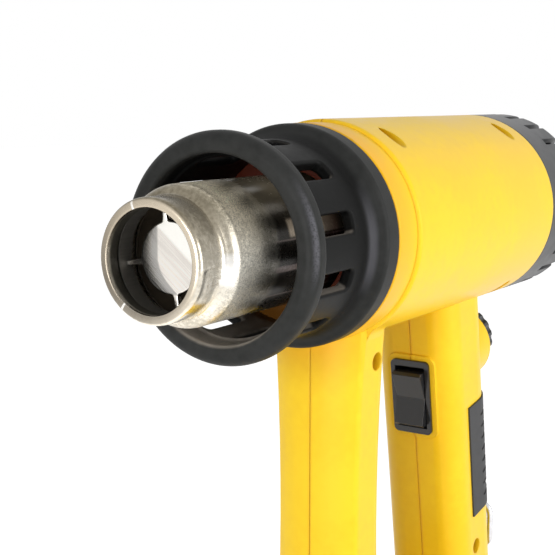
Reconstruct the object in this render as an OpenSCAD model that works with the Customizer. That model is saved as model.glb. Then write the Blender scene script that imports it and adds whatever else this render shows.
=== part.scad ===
// Hot air tool with a slotted nozzle guard and a closed handle.
// The nozzle blows along +X, +Y is the left side and +Z is up.
// The origin is on the floor, under the middle of the overall length.

/* [Nozzle] */
// Outside diameter of the tip that accessory nozzles push onto
tip_d = 35; // [34.4:0.2:36]
// Straight length of the tip behind the mouth
tip_len = 9.8; // [8.4:0.2:13]
// Bore of the thick rim at the mouth
mouth_d = 29.3; // [27:0.1:30.4]
// Depth of the thick rim
rim_depth = 4.5; // [3:0.5:5]
// Outside diameter of the wide heater tube
tube_d = 40.6; // [39.6:0.2:42.4]
// Thickness of the nozzle sheet
sheet_t = 0.9; // [0.7:0.1:1.1]
// Diameter of the air baffle disc
baffle_d = 20; // [16:0.5:24]
// Distance from the mouth back to the baffle disc
baffle_setback = 9.5; // [8.5:0.5:12]

/* [Heater] */
// Diameter of the ceramic core
core_d = 31; // [29:0.5:32]
// Length of the ceramic core
core_len = 58; // [48:1:60]
// Number of lengthwise channels in the core
channel_count = 8; // [6:1:9]
// Diameter of a channel
channel_d = 5; // [4:0.2:5.6]
// Outside diameter of a wound heating element
element_d = 3.8; // [2.4:0.2:3.8]
// Diameter of the flange that holds the nozzle in the housing
flange_d = 62; // [58:1:64]

/* [Guard] */
// Distance from the mouth back to the front of the guard
guard_setback = 29.6; // [24:0.2:34]
// Length of the guard along the barrel
guard_len = 47.2; // [43:0.2:54]
// Bore of the front ring
ring_bore_d = 56; // [55:0.5:57.5]
// Outside diameter of the front ring
ring_d = 69.2; // [67:0.2:71]
// Width of the front ring along the barrel
ring_w = 7.8; // [7:0.2:10]
// Outside diameter of the waist
waist_d = 62.4; // [61:0.2:64]
// Thickness of the ribs between the windows
rib_t = 4.2; // [3:0.1:4.4]
// Outside diameter of the collar
collar_d = 71.6; // [70:0.2:73]
// Straight width of the collar's rim
collar_w = 6; // [4:0.2:7]
// Number of windows around the guard
window_count = 11; // [8:1:12]
// Width of a window
window_w = 6.4; // [5:0.2:8]
// Angle of the first window from the top towards the left side
window_turn = 75.8; // [0:0.2:90]

/* [Barrel] */
// Diameter of the housing nose that carries the guard
nose_d = 62; // [60:0.5:63]
// Length of the housing nose inside the collar
nose_len = 8; // [6:0.5:9]
// Diameter of the band behind the guard
band_d = 71.8; // [70.6:0.2:72.6]
// Width of the band
band_w = 12.4; // [10:0.2:14]
// Outside diameter of the barrel
barrel_d = 73.9; // [73:0.1:78]
// Length of the barrel from the band to the end cap
barrel_len = 116; // [113:1:130]
// Wall thickness of the housing
wall = 2.6; // [2.2:0.1:2.9]
// Gap between the two housing halves at the parting line
seam_gap = 0.2; // [0.1:0.05:0.3]

/* [End cap] */
// Length of the slotted end cap
cap_len = 41; // [36:1:50]
// Edge radius at the back of the end cap
cap_round = 11; // [8:0.5:13]
// Number of air slots
slot_count = 24; // [16:1:28]
// Width of an air slot
slot_w = 3; // [2:0.2:3.6]

/* [Motor and fan] */
// Diameter of the motor case
motor_d = 36; // [33:0.5:38]
// Length of the motor case
motor_len = 48; // [42:1:50]
// Diameter of the fan
fan_d = 58; // [54:0.5:59]
// Number of fan blades
blade_count = 9; // [7:1:11]
// Diameter of the motor shaft
shaft_d = 3.2; // [2.4:0.2:4]
// Radial clearance of everything that turns in a bore
run_gap = 0.06; // [0.03:0.01:0.1]

/* [Handle] */
// Distance from the guard back to the front of the strut
strut_setback = 6.2; // [5:0.2:9]
// Depth of the front strut
strut_depth = 24; // [21:0.5:27]
// Width of the front strut at its waist
strut_w = 31; // [29:0.2:34]
// Radius of the hollow in the sides of the strut
waist_curve = 960; // [700:20:2000]
// Radius of the strut's bulged front
strut_bulge = 26; // [22:1:40]
// Radius of the strut's front corners
strut_corner = 2.5; // [2:0.5:5]
// Radius of the strut's corners on the hand side
strut_back_corner = 7; // [5:0.5:8]
// Clear length of the hand opening under the barrel
opening_len = 47; // [45:1:56]
// Clear height of the hand opening
opening_h = 119; // [112:1:128]
// Depth of the grip
grip_depth = 37.5; // [36:0.5:42]
// Width of the grip
grip_w = 34; // [32:0.5:38]
// Backward lean of the grip in degrees
grip_rake = 9; // [6:0.5:11]
// Thickness of the soft grip cover
cover_t = 1.8; // [1.2:0.1:2]
// Height by which the soft cover stands proud of the grip
cover_proud = 0.6; // [0.3:0.1:1]
// Height of the base
base_h = 32; // [30:1:38]
// Width of the base
base_w = 50; // [46:1:56]
// Thickness of the rubber foot pad
pad_t = 3; // [2.5:0.1:4]
// Height by which the pad stands proud of the base
pad_proud = 1; // [0.6:0.1:1.4]

/* [Controls] */
// Width of the rocker
rocker_w = 12; // [10:0.5:13]
// Height of the rocker
rocker_h = 22; // [19:0.5:24]
// Travel of the rocker to either side in degrees
rocker_travel = 12; // [8:1:12]
// Diameter of the heat dial
dial_d = 26; // [22:0.5:27]
// Height of the heat dial
dial_h = 9; // [7:0.5:11]
// Diameter of the dial's stem
stem_d = 6; // [4:0.5:7]

/* [Inlet and hanging ring] */
// Bore of the cord inlet
inlet_d = 8.4; // [7:0.2:9]
// Wire diameter of the hanging ring
ring_wire_d = 3; // [2.4:0.2:3.6]
// Width of the hanging ring between wire centres
hang_w = 20; // [18:0.5:24]
// Height of the hanging ring between wire centres
hang_h = 19; // [16:0.5:20]

/* [Fasteners] */
// Shank diameter of the housing screws
screw_d = 2.9; // [2.5:0.1:3.5]
// Head diameter of the housing screws
screw_head_d = 5.4; // [5:0.2:6.4]
// Depth of the screw seats left of the parting line
screw_seat = 9; // [7:0.5:10]

/* [Hidden] */
$fn = 72;

// Overshoot of cutting tools
eps = 0.5;
// Clearance of pieces that seat in the housing
seat_gap = 0.2;

tip_r = tip_d / 2;
tube_r = tube_d / 2;
mouth_r = mouth_d / 2;
waist_r = waist_d / 2;
ring_r = ring_d / 2;
ring_bore_r = ring_bore_d / 2;
rib_bore_r = waist_r - rib_t;
collar_r = collar_d / 2;
nose_r = nose_d / 2;
band_r = band_d / 2;
barrel_r = barrel_d / 2;
cavity_r = barrel_r - wall;

// Places along the barrel, counted from the mouth, negative towards the back
guard_front = -guard_setback;
guard_back = guard_front - guard_len;
nose_front = guard_back + nose_len;
band_front = guard_back - seat_gap;
step_s = guard_back - band_w;
barrel_back = step_s - barrel_len;
overall_len = -barrel_back + cap_len;
cap_back = barrel_back - cap_len;

// Handle places
strut_front = guard_back - strut_setback;
strut_back = strut_front - strut_depth;
strut_top_w = strut_w + 2 * (waist_curve - sqrt(pow(waist_curve, 2) - pow(opening_h / 2, 2)));
grip_s = strut_back - opening_len - grip_depth / 2 / cos(grip_rake);
base_top = -barrel_r - opening_h;
base_bottom = base_top - base_h;
base_front = strut_front + 1.5;
base_back = grip_s - grip_depth / 2 / cos(grip_rake) - opening_h * tan(grip_rake) - 4;
axis_h = -base_bottom + pad_proud;

// Swell of the nozzle and flare of the guard: a hollow arc that runs into a round one
swell_hollow = 1.6;
swell_round = 4;
swell_back = -tip_len - flare_run(tip_r, tube_r, swell_hollow, swell_round);
flare_hollow = 6;
flare_round = 2.2;
flare_back = guard_back + collar_w;
flare_front = flare_back + flare_run(waist_r, collar_r, flare_hollow, flare_round);

// Tie rod through the heater core
rod_r = 2.4;

// Edges of the guard and its windows
ring_front_round = 3.6;
ring_back_round = 2.8;
ring_bore_round = 1.5;
collar_round = 0.6;
window_round = 1.6;
window_front = guard_front - ring_w - 1.8;
window_back = flare_front + 5.5;

// Stack inside the barrel
flange_r = min(flange_d / 2, cavity_r - 0.6);
flange_t = 1.2;
flange_s = step_s - 4;
plate_t = 1.5;
plate_s = flange_s - flange_t;
core_back = plate_s + 4;
core_front = core_back + core_len;
duct_front = plate_s - plate_t - 10.8;
fan_len = 14;
fan_plate_t = 1.5;
duct_len = 34;
duct_t = 1.6;
duct_back = duct_front - duct_len;
fan_r = min(fan_d / 2, cavity_r - duct_t - 1.6);
bell_r = fan_r + 1;
bell_len = 16;
fan_back = duct_back + 2;
fan_front = fan_back + fan_len;
rib_w = 1.6;

// Motor with its carrier in front and its soft boot behind
motor_front = duct_back - 3;
motor_back = motor_front - motor_len;
motor_r = motor_d / 2;
case_t = 1.4;
case_end_t = 2;
bearing_r = 4.5;
bearing_len = 2;
magnet_t = 4;
armature_r = motor_r - case_t - magnet_t - 1.1;
armature_back = motor_back + 12;
armature_front = motor_front - 6;
carrier_front = motor_front - 3;
carrier_w = 11;
boot_w = 7;

// Screw bosses and the grip's corners
boss_r = screw_head_d / 2 + 1.5;
head_gap = 0.4;
head_h = 2.4;
grip_corner = 10;
grip_back_round = 15;

function flare_run(r0, r1, hollow, bulge) =
    sqrt(pow(hollow + bulge, 2) - pow(r0 + hollow - r1 + bulge, 2));

// Point on the grip's own axes turned into the tool's axes
function on_grip(x, z) = [grip_s + x * cos(grip_rake) + z * sin(grip_rake),
    -barrel_r - x * sin(grip_rake) + z * cos(grip_rake)];

// Back face of the grip at a height
function grip_back_at(z) = grip_s - grip_depth / 2 / cos(grip_rake) - (-barrel_r - z) * tan(grip_rake);

// Ends of the soft cover on the grip's own axis
cover_top = -39;
cover_bottom = -86;

// Cap that plugs into the back of the barrel
spigot_len = 6;
spigot_t = 2.2;
spigot_r = cavity_r - seat_gap;
slot_len = 25.4;

// Floor of the base, the cord inlet and the clamp on the floor
floor_z = base_bottom + pad_t + wall;
inlet_z = base_bottom + base_h / 2;
clamp = [8, 28, inlet_z - floor_z + inlet_d / 2 + 1.8];
clamp_s = base_back + 24;
clamp_screw_y = 9;
clamp_screw_r = 1.4;

// Screw places as [along the barrel, height]
barrel_boss_z = cavity_r - boss_r + 0.6;
floor_boss_z = floor_z + boss_r - 0.6;
rear_boss_s = barrel_back + spigot_len + boss_r + 1.8;
boot_back = max(motor_back + 12, rear_boss_s + boss_r + rib_w + 1);
screw_places = [
    [plate_s - plate_t - boss_r - 1.5, barrel_boss_z],
    [rear_boss_s, barrel_boss_z],
    [rear_boss_s, -barrel_boss_z],
    [strut_front - 15, -barrel_r - 6.5],
    [strut_front - 15, base_top + 8],
    on_grip(4, cover_bottom - 14),
    [base_front - 14, floor_boss_z],
    [clamp_s + clamp[0] + boss_r + 4, floor_boss_z]
];

// Controls on the grip's own axes
switch_z = -31;
switch_panel = [20, 34];
panel_proud = 0.8;
bezel_t = 1.2;
bezel = [rocker_w + 4, rocker_h + 8];
case_size = [20, rocker_w + 2.4, rocker_h + 5.4];
front_x = grip_depth / 2 + panel_proud;
trunnion_r = 1.5;
trunnion_x = front_x - 2;
dial_z = -22;
dial_boss_r = dial_d / 2 + 2.5;
dial_x = -grip_depth / 2 - 2;
dial_gap = 0.3;
regulator_r = 8;
regulator_len = 8;

// Gland and ring places
gland_r = inlet_d / 2 + 1.8;
gland_flange_r = gland_r + 2.4;
gland_len = 18;
hang_z = -barrel_r + cover_bottom - 6;
hang_s = grip_back_at(hang_z) - 8;
lug_w = 9;
lug_r = ring_wire_d / 2 + 2.6;
hang_corner = 5;

// Board and what it carries, as length, width and height
board = [66, base_w - 2 * wall - 6, 1.6];
board_back = clamp_s + clamp[0] + 1.3;
board_z = base_top - wall - 11;
rail_grip = 2;
capacitor_size = [16, 9, 8];
sink_size = [24, 12, 8];
fin_count = 5;
fin_t = 1.6;
terminals = [9, 22, 8];

module gun() translate([overall_len / 2, 0, axis_h]) children();

module grip_frame() translate([grip_s, 0, -barrel_r]) rotate([0, grip_rake, 0]) children();

// Turns each profile of [radius, place along the barrel] about the barrel's axis
module about_barrel() for (i = [0 : $children - 1]) rotate([0, 90, 0]) rotate_extrude() children(i);

module x_cyl(r, s0, s1) translate([s0, 0, 0]) rotate([0, 90, 0]) cylinder(r = r, h = s1 - s0);

module y_cyl(r, y0, y1) translate([0, y0, 0]) rotate([-90, 0, 0]) cylinder(r = r, h = y1 - y0);

// Profile strip from radius r0 to r1 between two places
module strip(r0, r1, s0, s1) translate([r0, s0]) square([r1 - r0, s1 - s0]);

// Waste at a convex corner c whose body lies towards d
module corner_waste(c, d, r) {
    if (r > 0) difference() {
        translate([min(c[0] - d[0] * eps, c[0] + d[0] * r), min(c[1] - d[1] * eps, c[1] + d[1] * r)])
            square(r + eps);
        translate([c[0] + d[0] * r, c[1] + d[1] * r]) circle(r);
    }
}

// Rectangle with its own radius at each corner: low left, low right, top right, top left
module soft_rect(w, h, radii) {
    difference() {
        translate([-w / 2, -h / 2]) square([w, h]);
        corner_waste([-w / 2, -h / 2], [1, 1], radii[0]);
        corner_waste([w / 2, -h / 2], [-1, 1], radii[1]);
        corner_waste([w / 2, h / 2], [-1, -1], radii[2]);
        corner_waste([-w / 2, h / 2], [1, -1], radii[3]);
    }
}

module even_rect(w, h, r) soft_rect(w, h, [r, r, r, r]);

// Profile that swells from radius r0 at place s0 to radius r1 at place s1
module swell(r0, r1, s0, s1, hollow, bulge, inner) {
    c0 = [r0 + hollow, s0];
    c1 = [r1 - bulge, s1];
    touch = c0 + (c1 - c0) * hollow / (hollow + bulge);
    difference() {
        union() {
            polygon([[inner, s0], [r0, s0], touch, c1, c1 - [0, eps], [inner, s1 - eps]]);
            translate(c1) circle(bulge);
        }
        translate(c0) circle(hollow);
    }
}

// Web with a hollow face in the corner [x, z], growing towards [dx, dz]
module corner_web(x, z, dx, dz, r, w) {
    rotate([90, 0, 0]) linear_extrude(w, center = true) difference() {
        translate([x, z]) polygon([[-2 * dx, -2 * dz], [dx * r, -2 * dz], [dx * r, 0], [0, dz * r],
            [-2 * dx, dz * r]]);
        translate([x + dx * r, z + dz * r]) circle(r);
    }
}

module barrel_form(inset) {
    difference() {
        about_barrel() {
            strip(0, nose_r - inset, step_s - inset, nose_front - inset);
            strip(0, band_r - inset, step_s - inset - eps, band_front - inset);
            strip(0, barrel_r - inset, barrel_back - (inset > 0 ? eps : 0), step_s - inset);
        }
        if (inset == 0) about_barrel() {
            corner_waste([band_r, band_front], [-1, -1], 0.8);
            corner_waste([barrel_r, step_s], [-1, -1], 1.4);
        }
    }
}

// Waste in front of the strut: a bulged front of radius bulge_r and a round corner at the side
module strut_front_waste(side_r, front, bulge_r, r) {
    bulge = [strut_w / 2 + waist_curve, front - bulge_r];
    corner_u = side_r + r;
    corner = [corner_u, bulge[1] + sqrt(pow(bulge_r - r, 2) - pow(bulge[0] - corner_u, 2))];
    outward = (corner - bulge) / (bulge_r - r);
    corner_waste([bulge[0] - bulge_r, front], [1, -1], bulge_r);
    difference() {
        polygon([[side_r - eps, corner[1]], corner, bulge + outward * (bulge_r + 3), [side_r - eps, front + 1]]);
        translate(corner) circle(r);
    }
}

// Strut with hollow sides: each side is turned about an axis that runs beside the strut
module strut_form(inset) {
    front = strut_front - inset;
    back = strut_back + inset;
    side_r = waist_curve + inset;
    difference() {
        translate([back, -strut_top_w / 2 - 2, base_top - wall])
            cube([front - back, strut_top_w + 4, opening_h + 14]);
        for (m = [0, 1]) mirror([0, m, 0])
            translate([0, strut_w / 2 + waist_curve, base_top + opening_h / 2]) about_barrel($fn = 720) {
                strip(side_r - 20, side_r, back - 1, front + 1);
                strut_front_waste(side_r, front, strut_bulge - inset, max(strut_corner - inset, 1));
                corner_waste([side_r, back], [1, 1], max(strut_back_corner - inset, 1));
            }
    }
}

// Cross-section of the grip, rounder at the back
module grip_section(inset) {
    back = grip_back_round - inset;
    front = grip_corner - inset;
    soft_rect(grip_depth - 2 * inset, grip_w - 2 * inset, [back, front, front, back]);
}

module grip_form(inset) {
    length = opening_h / cos(grip_rake) + 10;
    grip_frame() translate([0, 0, -length]) linear_extrude(length + 14) grip_section(inset);
}

module base_form(inset) {
    length = base_front - base_back - 2 * inset;
    width = base_w - 2 * inset;
    height = base_h - 2 * inset;
    translate([(base_front + base_back) / 2, 0, (base_top + base_bottom) / 2]) intersection() {
        linear_extrude(base_h, center = true) even_rect(length, width, 11 - inset);
        rotate([90, 0, 90]) linear_extrude(length, center = true)
            soft_rect(width, height, [3, 3, 8 - inset, 8 - inset]);
        rotate([90, 0, 0]) linear_extrude(base_w, center = true)
            soft_rect(length, height, [8 - inset, 10 - inset, 3, 8 - inset]);
    }
}

// Fillet between a flat side of the handle and the round barrel
module side_web(half_w, s0, s1, r) {
    zc = sqrt(pow(barrel_r + r, 2) - pow(half_w + r, 2));
    translate([s0, 0, 0]) rotate([90, 0, 90]) linear_extrude(s1 - s0) for (m = [0, 1]) mirror([m, 0])
        difference() {
            polygon([[0, -barrel_r / 2], [(half_w + r) / 2, -zc / 2], [half_w + r, -zc], [0, -zc]]);
            translate([half_w + r, -zc]) circle(r);
        }
}

module switch_panel_form() {
    grip_frame() translate([0, 0, switch_z]) rotate([90, 0, 90]) linear_extrude(front_x)
        even_rect(switch_panel[0], switch_panel[1], 4);
}

module dial_boss_form() grip_frame() translate([0, 0, dial_z]) x_cyl(dial_boss_r, dial_x, 0);

module lug_form() {
    translate([hang_s, 0, hang_z]) {
        y_cyl(lug_r, -lug_w / 2, lug_w / 2);
        translate([0, -lug_w / 2, -lug_r]) cube([12, lug_w, 2 * lug_r]);
    }
}

// The whole outside of the housing as one solid
module outer_form() {
    web_w = strut_top_w - 2 * strut_back_corner - 1;
    strut_shoulder = strut_bulge - sqrt(pow(strut_bulge - strut_corner, 2) - pow(strut_w / 2 - strut_corner, 2));
    grip_web_w = grip_w - 2 * grip_corner - 1;
    grip_foot = grip_s + grip_depth / 2 / cos(grip_rake) - opening_h * tan(grip_rake);
    barrel_form(0);
    strut_form(0);
    grip_form(0);
    base_form(0);
    side_web(strut_top_w / 2 - 0.15, strut_back + strut_back_corner + 0.5, strut_front - strut_shoulder - 0.5, 8);
    corner_web(strut_back, -barrel_r, -1, -1, 9, web_w);
    corner_web(strut_back, base_top, -1, 1, 9, web_w);
    corner_web(grip_foot, base_top, 1, 1, 12, grip_web_w);
    switch_panel_form();
    dial_boss_form();
    lug_form();
}

// The space inside the housing
module inner_form() {
    barrel_form(wall);
    strut_form(wall);
    grip_form(wall);
    difference() {
        base_form(wall);
        translate([base_back, -base_w / 2, base_bottom - eps])
            cube([base_front - base_back, base_w, pad_t + wall + eps]);
    }
}

// Ring-shaped rib inside the barrel
module ring_rib(s, inner_r) about_barrel() strip(inner_r, cavity_r + wall / 2, s, s + rib_w);

// Ribs that carry the inner pieces
module inner_ribs() {
    rail_w = (base_w - board[1]) / 2 + rail_grip - wall / 2;
    ring_rib(flange_s + seat_gap, flange_r - 4);
    ring_rib(plate_s - plate_t - rib_w - seat_gap, flange_r - 4);
    ring_rib(duct_back + duct_t + seat_gap, min(bell_r + duct_t + seat_gap, cavity_r - 0.5));
    ring_rib(carrier_front + seat_gap, cavity_r - 2);
    ring_rib(boot_back - rib_w - seat_gap, cavity_r - 2);
    ring_rib(rear_boss_s - rib_w / 2, cavity_r - 2);
    for (y = [-base_w / 2 + wall / 2, board[1] / 2 - rail_grip])
        translate([board_back, y, board_z - rib_w - seat_gap / 2]) cube([board[0], rail_w, rib_w]);
}

module screw_columns() {
    for (p = screw_places) translate([p[0], 0, p[1]]) y_cyl(boss_r, -base_w, base_w);
}

// Openings for the controls, nozzle, inlet, ring and screws
module housing_cuts() {
    x_cyl(tube_r + 1.2, nose_front - wall - eps, nose_front + eps);
    grip_frame() {
        translate([trunnion_x - case_size[0], -case_size[1] / 2 - seat_gap,
                switch_z - case_size[2] / 2 - seat_gap])
            cube([case_size[0] + 5, case_size[1] + 2 * seat_gap, case_size[2] + 2 * seat_gap]);
        translate([0, 0, dial_z]) {
            x_cyl(stem_d / 2 + 0.3, dial_x - eps, -grip_depth / 2 + wall + eps);
            x_cyl(regulator_r + 0.3, -grip_depth / 2 + wall, 0);
        }
        grip_cover_form(0, cover_t - cover_proud, 0.1);
    }
    translate([0, 0, inlet_z]) x_cyl(gland_r + 0.1, base_back - eps, base_back + 6);
    translate([hang_s, 0, hang_z]) y_cyl(ring_wire_d / 2 + run_gap, -lug_w, lug_w);
    pad_form(seat_gap, base_bottom - eps, base_bottom + pad_t - pad_proud);
    for (p = screw_places) translate([p[0], 0, p[1]]) {
        y_cyl(screw_d / 2 + 0.4, -eps, screw_seat + eps);
        y_cyl(screw_head_d / 2 + head_gap, screw_seat, base_w);
        y_cyl(screw_d / 2 + 0.05, -screw_seat - 3, eps);
    }
}

module housing_half(side) {
    y0 = side > 0 ? seam_gap / 2 : -base_w;
    gun() difference() {
        intersection() {
            union() {
                difference() {
                    outer_form();
                    inner_form();
                }
                intersection() {
                    outer_form();
                    union() {
                        inner_ribs();
                        screw_columns();
                    }
                }
            }
            translate([cap_back, y0, base_bottom - 1])
                cube([overall_len, base_w - seam_gap / 2, barrel_r - base_bottom + 2]);
        }
        housing_cuts();
    }
}

module left_housing() color([0.98, 0.76, 0.10]) housing_half(1);

module right_housing() color([0.98, 0.76, 0.10]) housing_half(-1);

module guard() {
    ring_back = guard_front - ring_w;
    color([0.16, 0.17, 0.18]) gun() difference() {
        about_barrel() {
            strip(ring_bore_r, ring_r, ring_back, guard_front);
            strip(rib_bore_r, waist_r, flare_front - eps, ring_back + 1);
            swell(waist_r, collar_r, flare_front, flare_back, flare_hollow, flare_round, rib_bore_r);
            strip(rib_bore_r, collar_r, guard_back, flare_back);
        }
        about_barrel() {
            strip(rib_bore_r - eps, nose_r + 0.15, guard_back - eps, nose_front + 0.1);
            corner_waste([ring_r, guard_front], [-1, -1], ring_front_round);
            corner_waste([ring_r, ring_back], [-1, 1], ring_back_round);
            corner_waste([ring_bore_r, guard_front], [1, -1], ring_bore_round);
            corner_waste([collar_r, guard_back], [-1, 1], collar_round);
        }
        for (i = [0 : window_count - 1]) rotate([-window_turn - i * 360 / window_count, 0, 0])
            translate([(window_front + window_back) / 2, 0, rib_bore_r - 2]) linear_extrude(rib_t + 5)
                even_rect(window_front - window_back, window_w, window_round);
    }
}

module nozzle() {
    color([0.62, 0.60, 0.56]) gun() difference() {
        about_barrel() {
            strip(0, tip_r, -tip_len - eps, 0);
            swell(tip_r, tube_r, -tip_len, swell_back, swell_hollow, swell_round, 0);
            strip(0, tube_r, flange_s, swell_back);
            strip(0, flange_r, flange_s - flange_t, flange_s);
        }
        about_barrel() {
            strip(0, mouth_r, -rim_depth - eps, eps);
            strip(0, tip_r - sheet_t, swell_back - eps, -rim_depth);
            strip(0, tube_r - sheet_t, flange_s - flange_t - eps, swell_back);
            corner_waste([tip_r, 0], [-1, -1], 0.9);
            corner_waste([mouth_r, 0], [1, -1], 0.5);
        }
        about_barrel() intersection() {
            translate([tube_r - swell_round, swell_back]) circle(swell_round - sheet_t);
            strip(0, tube_r, swell_back - eps, -tip_len);
        }
    }
}

module baffle() {
    ring_r = tip_r - sheet_t - 0.1;
    disc_t = 1.2;
    color([0.72, 0.70, 0.68]) gun() {
        about_barrel() strip(ring_r - 0.8, ring_r, -baffle_setback - 2.5, -baffle_setback + 3);
        difference() {
            x_cyl(baffle_d / 2, -baffle_setback - disc_t, -baffle_setback);
            about_barrel() corner_waste([baffle_d / 2, -baffle_setback], [-1, -1], 0.6);
        }
        for (turn = [0 : 90 : 270]) rotate([turn, 0, 0]) {
            translate([-baffle_setback - 2.5, -0.5, baffle_d / 2 - 1])
                cube([2.5, 1, ring_r - baffle_d / 2 + 0.6]);
            translate([-baffle_setback - disc_t, 0, 0]) rotate([90, 0, 90]) linear_extrude(disc_t)
                polygon([[-2, baffle_d / 2 - 0.6], [2, baffle_d / 2 - 0.6], [0.5, baffle_d / 2 + 1.4],
                    [-0.5, baffle_d / 2 + 1.4]]);
        }
    }
}

module mica_sleeve() {
    outer = tube_r - sheet_t - 0.3;
    color([0.78, 0.70, 0.52]) gun() about_barrel() strip(outer - 0.6, outer, plate_s, swell_back - 3);
}

// Places what it is given at each channel of the core
module at_channels() {
    for (i = [0 : channel_count - 1]) rotate([i * 360 / channel_count, 0, 0])
        translate([0, 0, (core_d - channel_d) / 2 - 1.4]) children();
}

module heater_core() {
    color([0.88, 0.86, 0.80]) gun() difference() {
        x_cyl(core_d / 2, core_back, core_front);
        x_cyl(rod_r + 0.2, core_back - eps, core_front + eps);
        at_channels() x_cyl(channel_d / 2, core_back - eps, core_front + eps);
    }
}

module heating_elements() {
    color([0.55, 0.45, 0.38]) gun() at_channels() x_cyl(element_d / 2, plate_s, core_front);
}

module heater_plate() {
    hole_r = 2.2;
    nut_r = 4.2;
    hub_r = 5.5;
    color([0.70, 0.62, 0.45]) gun() {
        difference() {
            x_cyl(flange_r, plate_s - plate_t, plate_s);
            for (i = [0 : 11]) rotate([i * 30 + 15, 0, 0]) translate([0, 0, tube_r - 5])
                x_cyl(hole_r, plate_s - plate_t - eps, plate_s + eps);
        }
        x_cyl(rod_r, plate_s - eps, core_front + 1.5);
        x_cyl(nut_r, core_front + 0.1, core_front + 1.6);
        x_cyl(hub_r, plate_s - eps, core_back);
    }
}

module thermal_cutout() {
    body = [5, 10, 8];
    tab = [3, 1, 4];
    low_z = 4;
    color([0.80, 0.80, 0.82]) gun() translate([plate_s - plate_t - body[0], 0, low_z]) {
        translate([0, -body[1] / 2, 0]) cube(body);
        for (y = [-3.4, 2.4]) translate([eps - tab[0], y, (body[2] - tab[2]) / 2]) cube(tab);
    }
}

module air_guide() {
    bell_front = duct_back + bell_len;
    neck_r = tube_r + 1.5;
    color([0.30, 0.30, 0.32]) gun() about_barrel() {
        polygon([[bell_r, duct_back], [bell_r, bell_front], [neck_r, duct_front],
            [neck_r + duct_t, duct_front], [bell_r + duct_t, bell_front], [bell_r + duct_t, duct_back]]);
        strip(bell_r + duct_t / 2, cavity_r - seat_gap, duct_back, duct_back + duct_t);
    }
}

module fan() {
    hub_r = 6;
    blade_r = fan_r * 0.56;
    blade_t = 1.4;
    color([0.12, 0.12, 0.13]) gun() difference() {
        union() {
            x_cyl(fan_r, fan_back, fan_back + fan_plate_t);
            x_cyl(hub_r, fan_back, fan_front);
            intersection() {
                x_cyl(fan_r, fan_back, fan_front);
                for (i = [0 : blade_count - 1]) rotate([i * 360 / blade_count, 0, 0])
                    translate([fan_back, fan_r * 0.4, fan_r * 0.44]) difference() {
                        x_cyl(blade_r, 0, fan_len - 2);
                        x_cyl(blade_r - blade_t, -eps, fan_len);
                        translate([-1, -2 * fan_r, -2 * fan_r]) cube([fan_len + 2, 4 * fan_r, 2 * fan_r]);
                        translate([-1, 0, -1]) cube([fan_len + 2, 2 * fan_r, 2 * fan_r]);
                    }
            }
        }
        x_cyl(shaft_d / 2 + 0.01, fan_back - eps, fan_front + eps);
    }
}

module motor_shaft() color([0.75, 0.75, 0.77]) gun() x_cyl(shaft_d / 2, motor_back - 3, fan_front - 1);

module armature() {
    commutator_r = 5;
    color([0.72, 0.42, 0.22]) gun() difference() {
        union() {
            x_cyl(armature_r, armature_back, armature_front);
            x_cyl(commutator_r, motor_back + 4, armature_back + eps);
        }
        x_cyl(shaft_d / 2 + 0.01, motor_back, motor_front);
    }
}

module motor_case() {
    color([0.66, 0.67, 0.69]) gun() difference() {
        union() {
            x_cyl(motor_r, motor_back, motor_front);
            x_cyl(bearing_r, motor_back - bearing_len, motor_front + bearing_len);
        }
        x_cyl(motor_r - case_t, motor_back + case_end_t, motor_front - case_end_t);
        x_cyl(shaft_d / 2 + run_gap, motor_back - bearing_len - eps, motor_front + bearing_len + eps);
    }
}

module motor_magnets() {
    outer = motor_r - case_t - 0.1;
    magnet_back = armature_back - 2;
    magnet_front = armature_front + 2;
    color([0.25, 0.25, 0.27]) gun() for (turn = [0, 180]) rotate([turn, 0, 0]) intersection() {
        difference() {
            x_cyl(outer, magnet_back, magnet_front);
            x_cyl(outer - magnet_t, magnet_back - eps, magnet_front + eps);
        }
        translate([motor_back, -outer * 0.7, 0]) cube([motor_len, outer * 1.4, outer]);
    }
}

// Ring round the motor, carried from the barrel wall by arms
module spider(s0, s1, rim_t, arms, arm_t) {
    hub = motor_r + 0.1;
    hub_t = 2.4;
    rim = cavity_r - seat_gap;
    about_barrel() {
        strip(hub, hub + hub_t, s0, s1);
        strip(rim - rim_t, rim, s0, s1);
    }
    for (i = [0 : arms - 1]) rotate([(i + 0.5) * 360 / arms, 0, 0])
        translate([s0, -arm_t / 2, hub + hub_t / 2]) cube([s1 - s0, arm_t, rim - hub - (hub_t + rim_t) / 2]);
}

module motor_carrier() color([0.32, 0.33, 0.35]) gun() spider(carrier_front - carrier_w, carrier_front, 2, 6, 1.8);

module motor_boot() color([0.10, 0.10, 0.10]) gun() spider(boot_back, boot_back + boot_w, 1.6, 4, 4);

module rear_cap() {
    ledge_s = barrel_back - 3;
    color([0.13, 0.14, 0.15]) gun() difference() {
        about_barrel() {
            strip(0, barrel_r, cap_back, barrel_back - seat_gap);
            strip(0, spigot_r, barrel_back - wall, barrel_back + spigot_len);
        }
        about_barrel() {
            corner_waste([barrel_r, cap_back], [-1, 1], cap_round);
            corner_waste([barrel_r, barrel_back - seat_gap], [-1, -1], 0.8);
            difference() {
                strip(0, barrel_r - wall, cap_back + wall, ledge_s);
                corner_waste([barrel_r - wall, cap_back + wall], [-1, 1], cap_round - wall);
            }
            strip(0, spigot_r - spigot_t, ledge_s - eps, barrel_back + spigot_len + eps);
        }
        for (i = [0 : slot_count - 1]) rotate([i * 360 / slot_count, 0, 0])
            translate([cap_back - eps, -slot_w / 2, barrel_r - cap_round - 3])
                cube([slot_len, slot_w, cap_round + 5]);
    }
}

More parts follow.
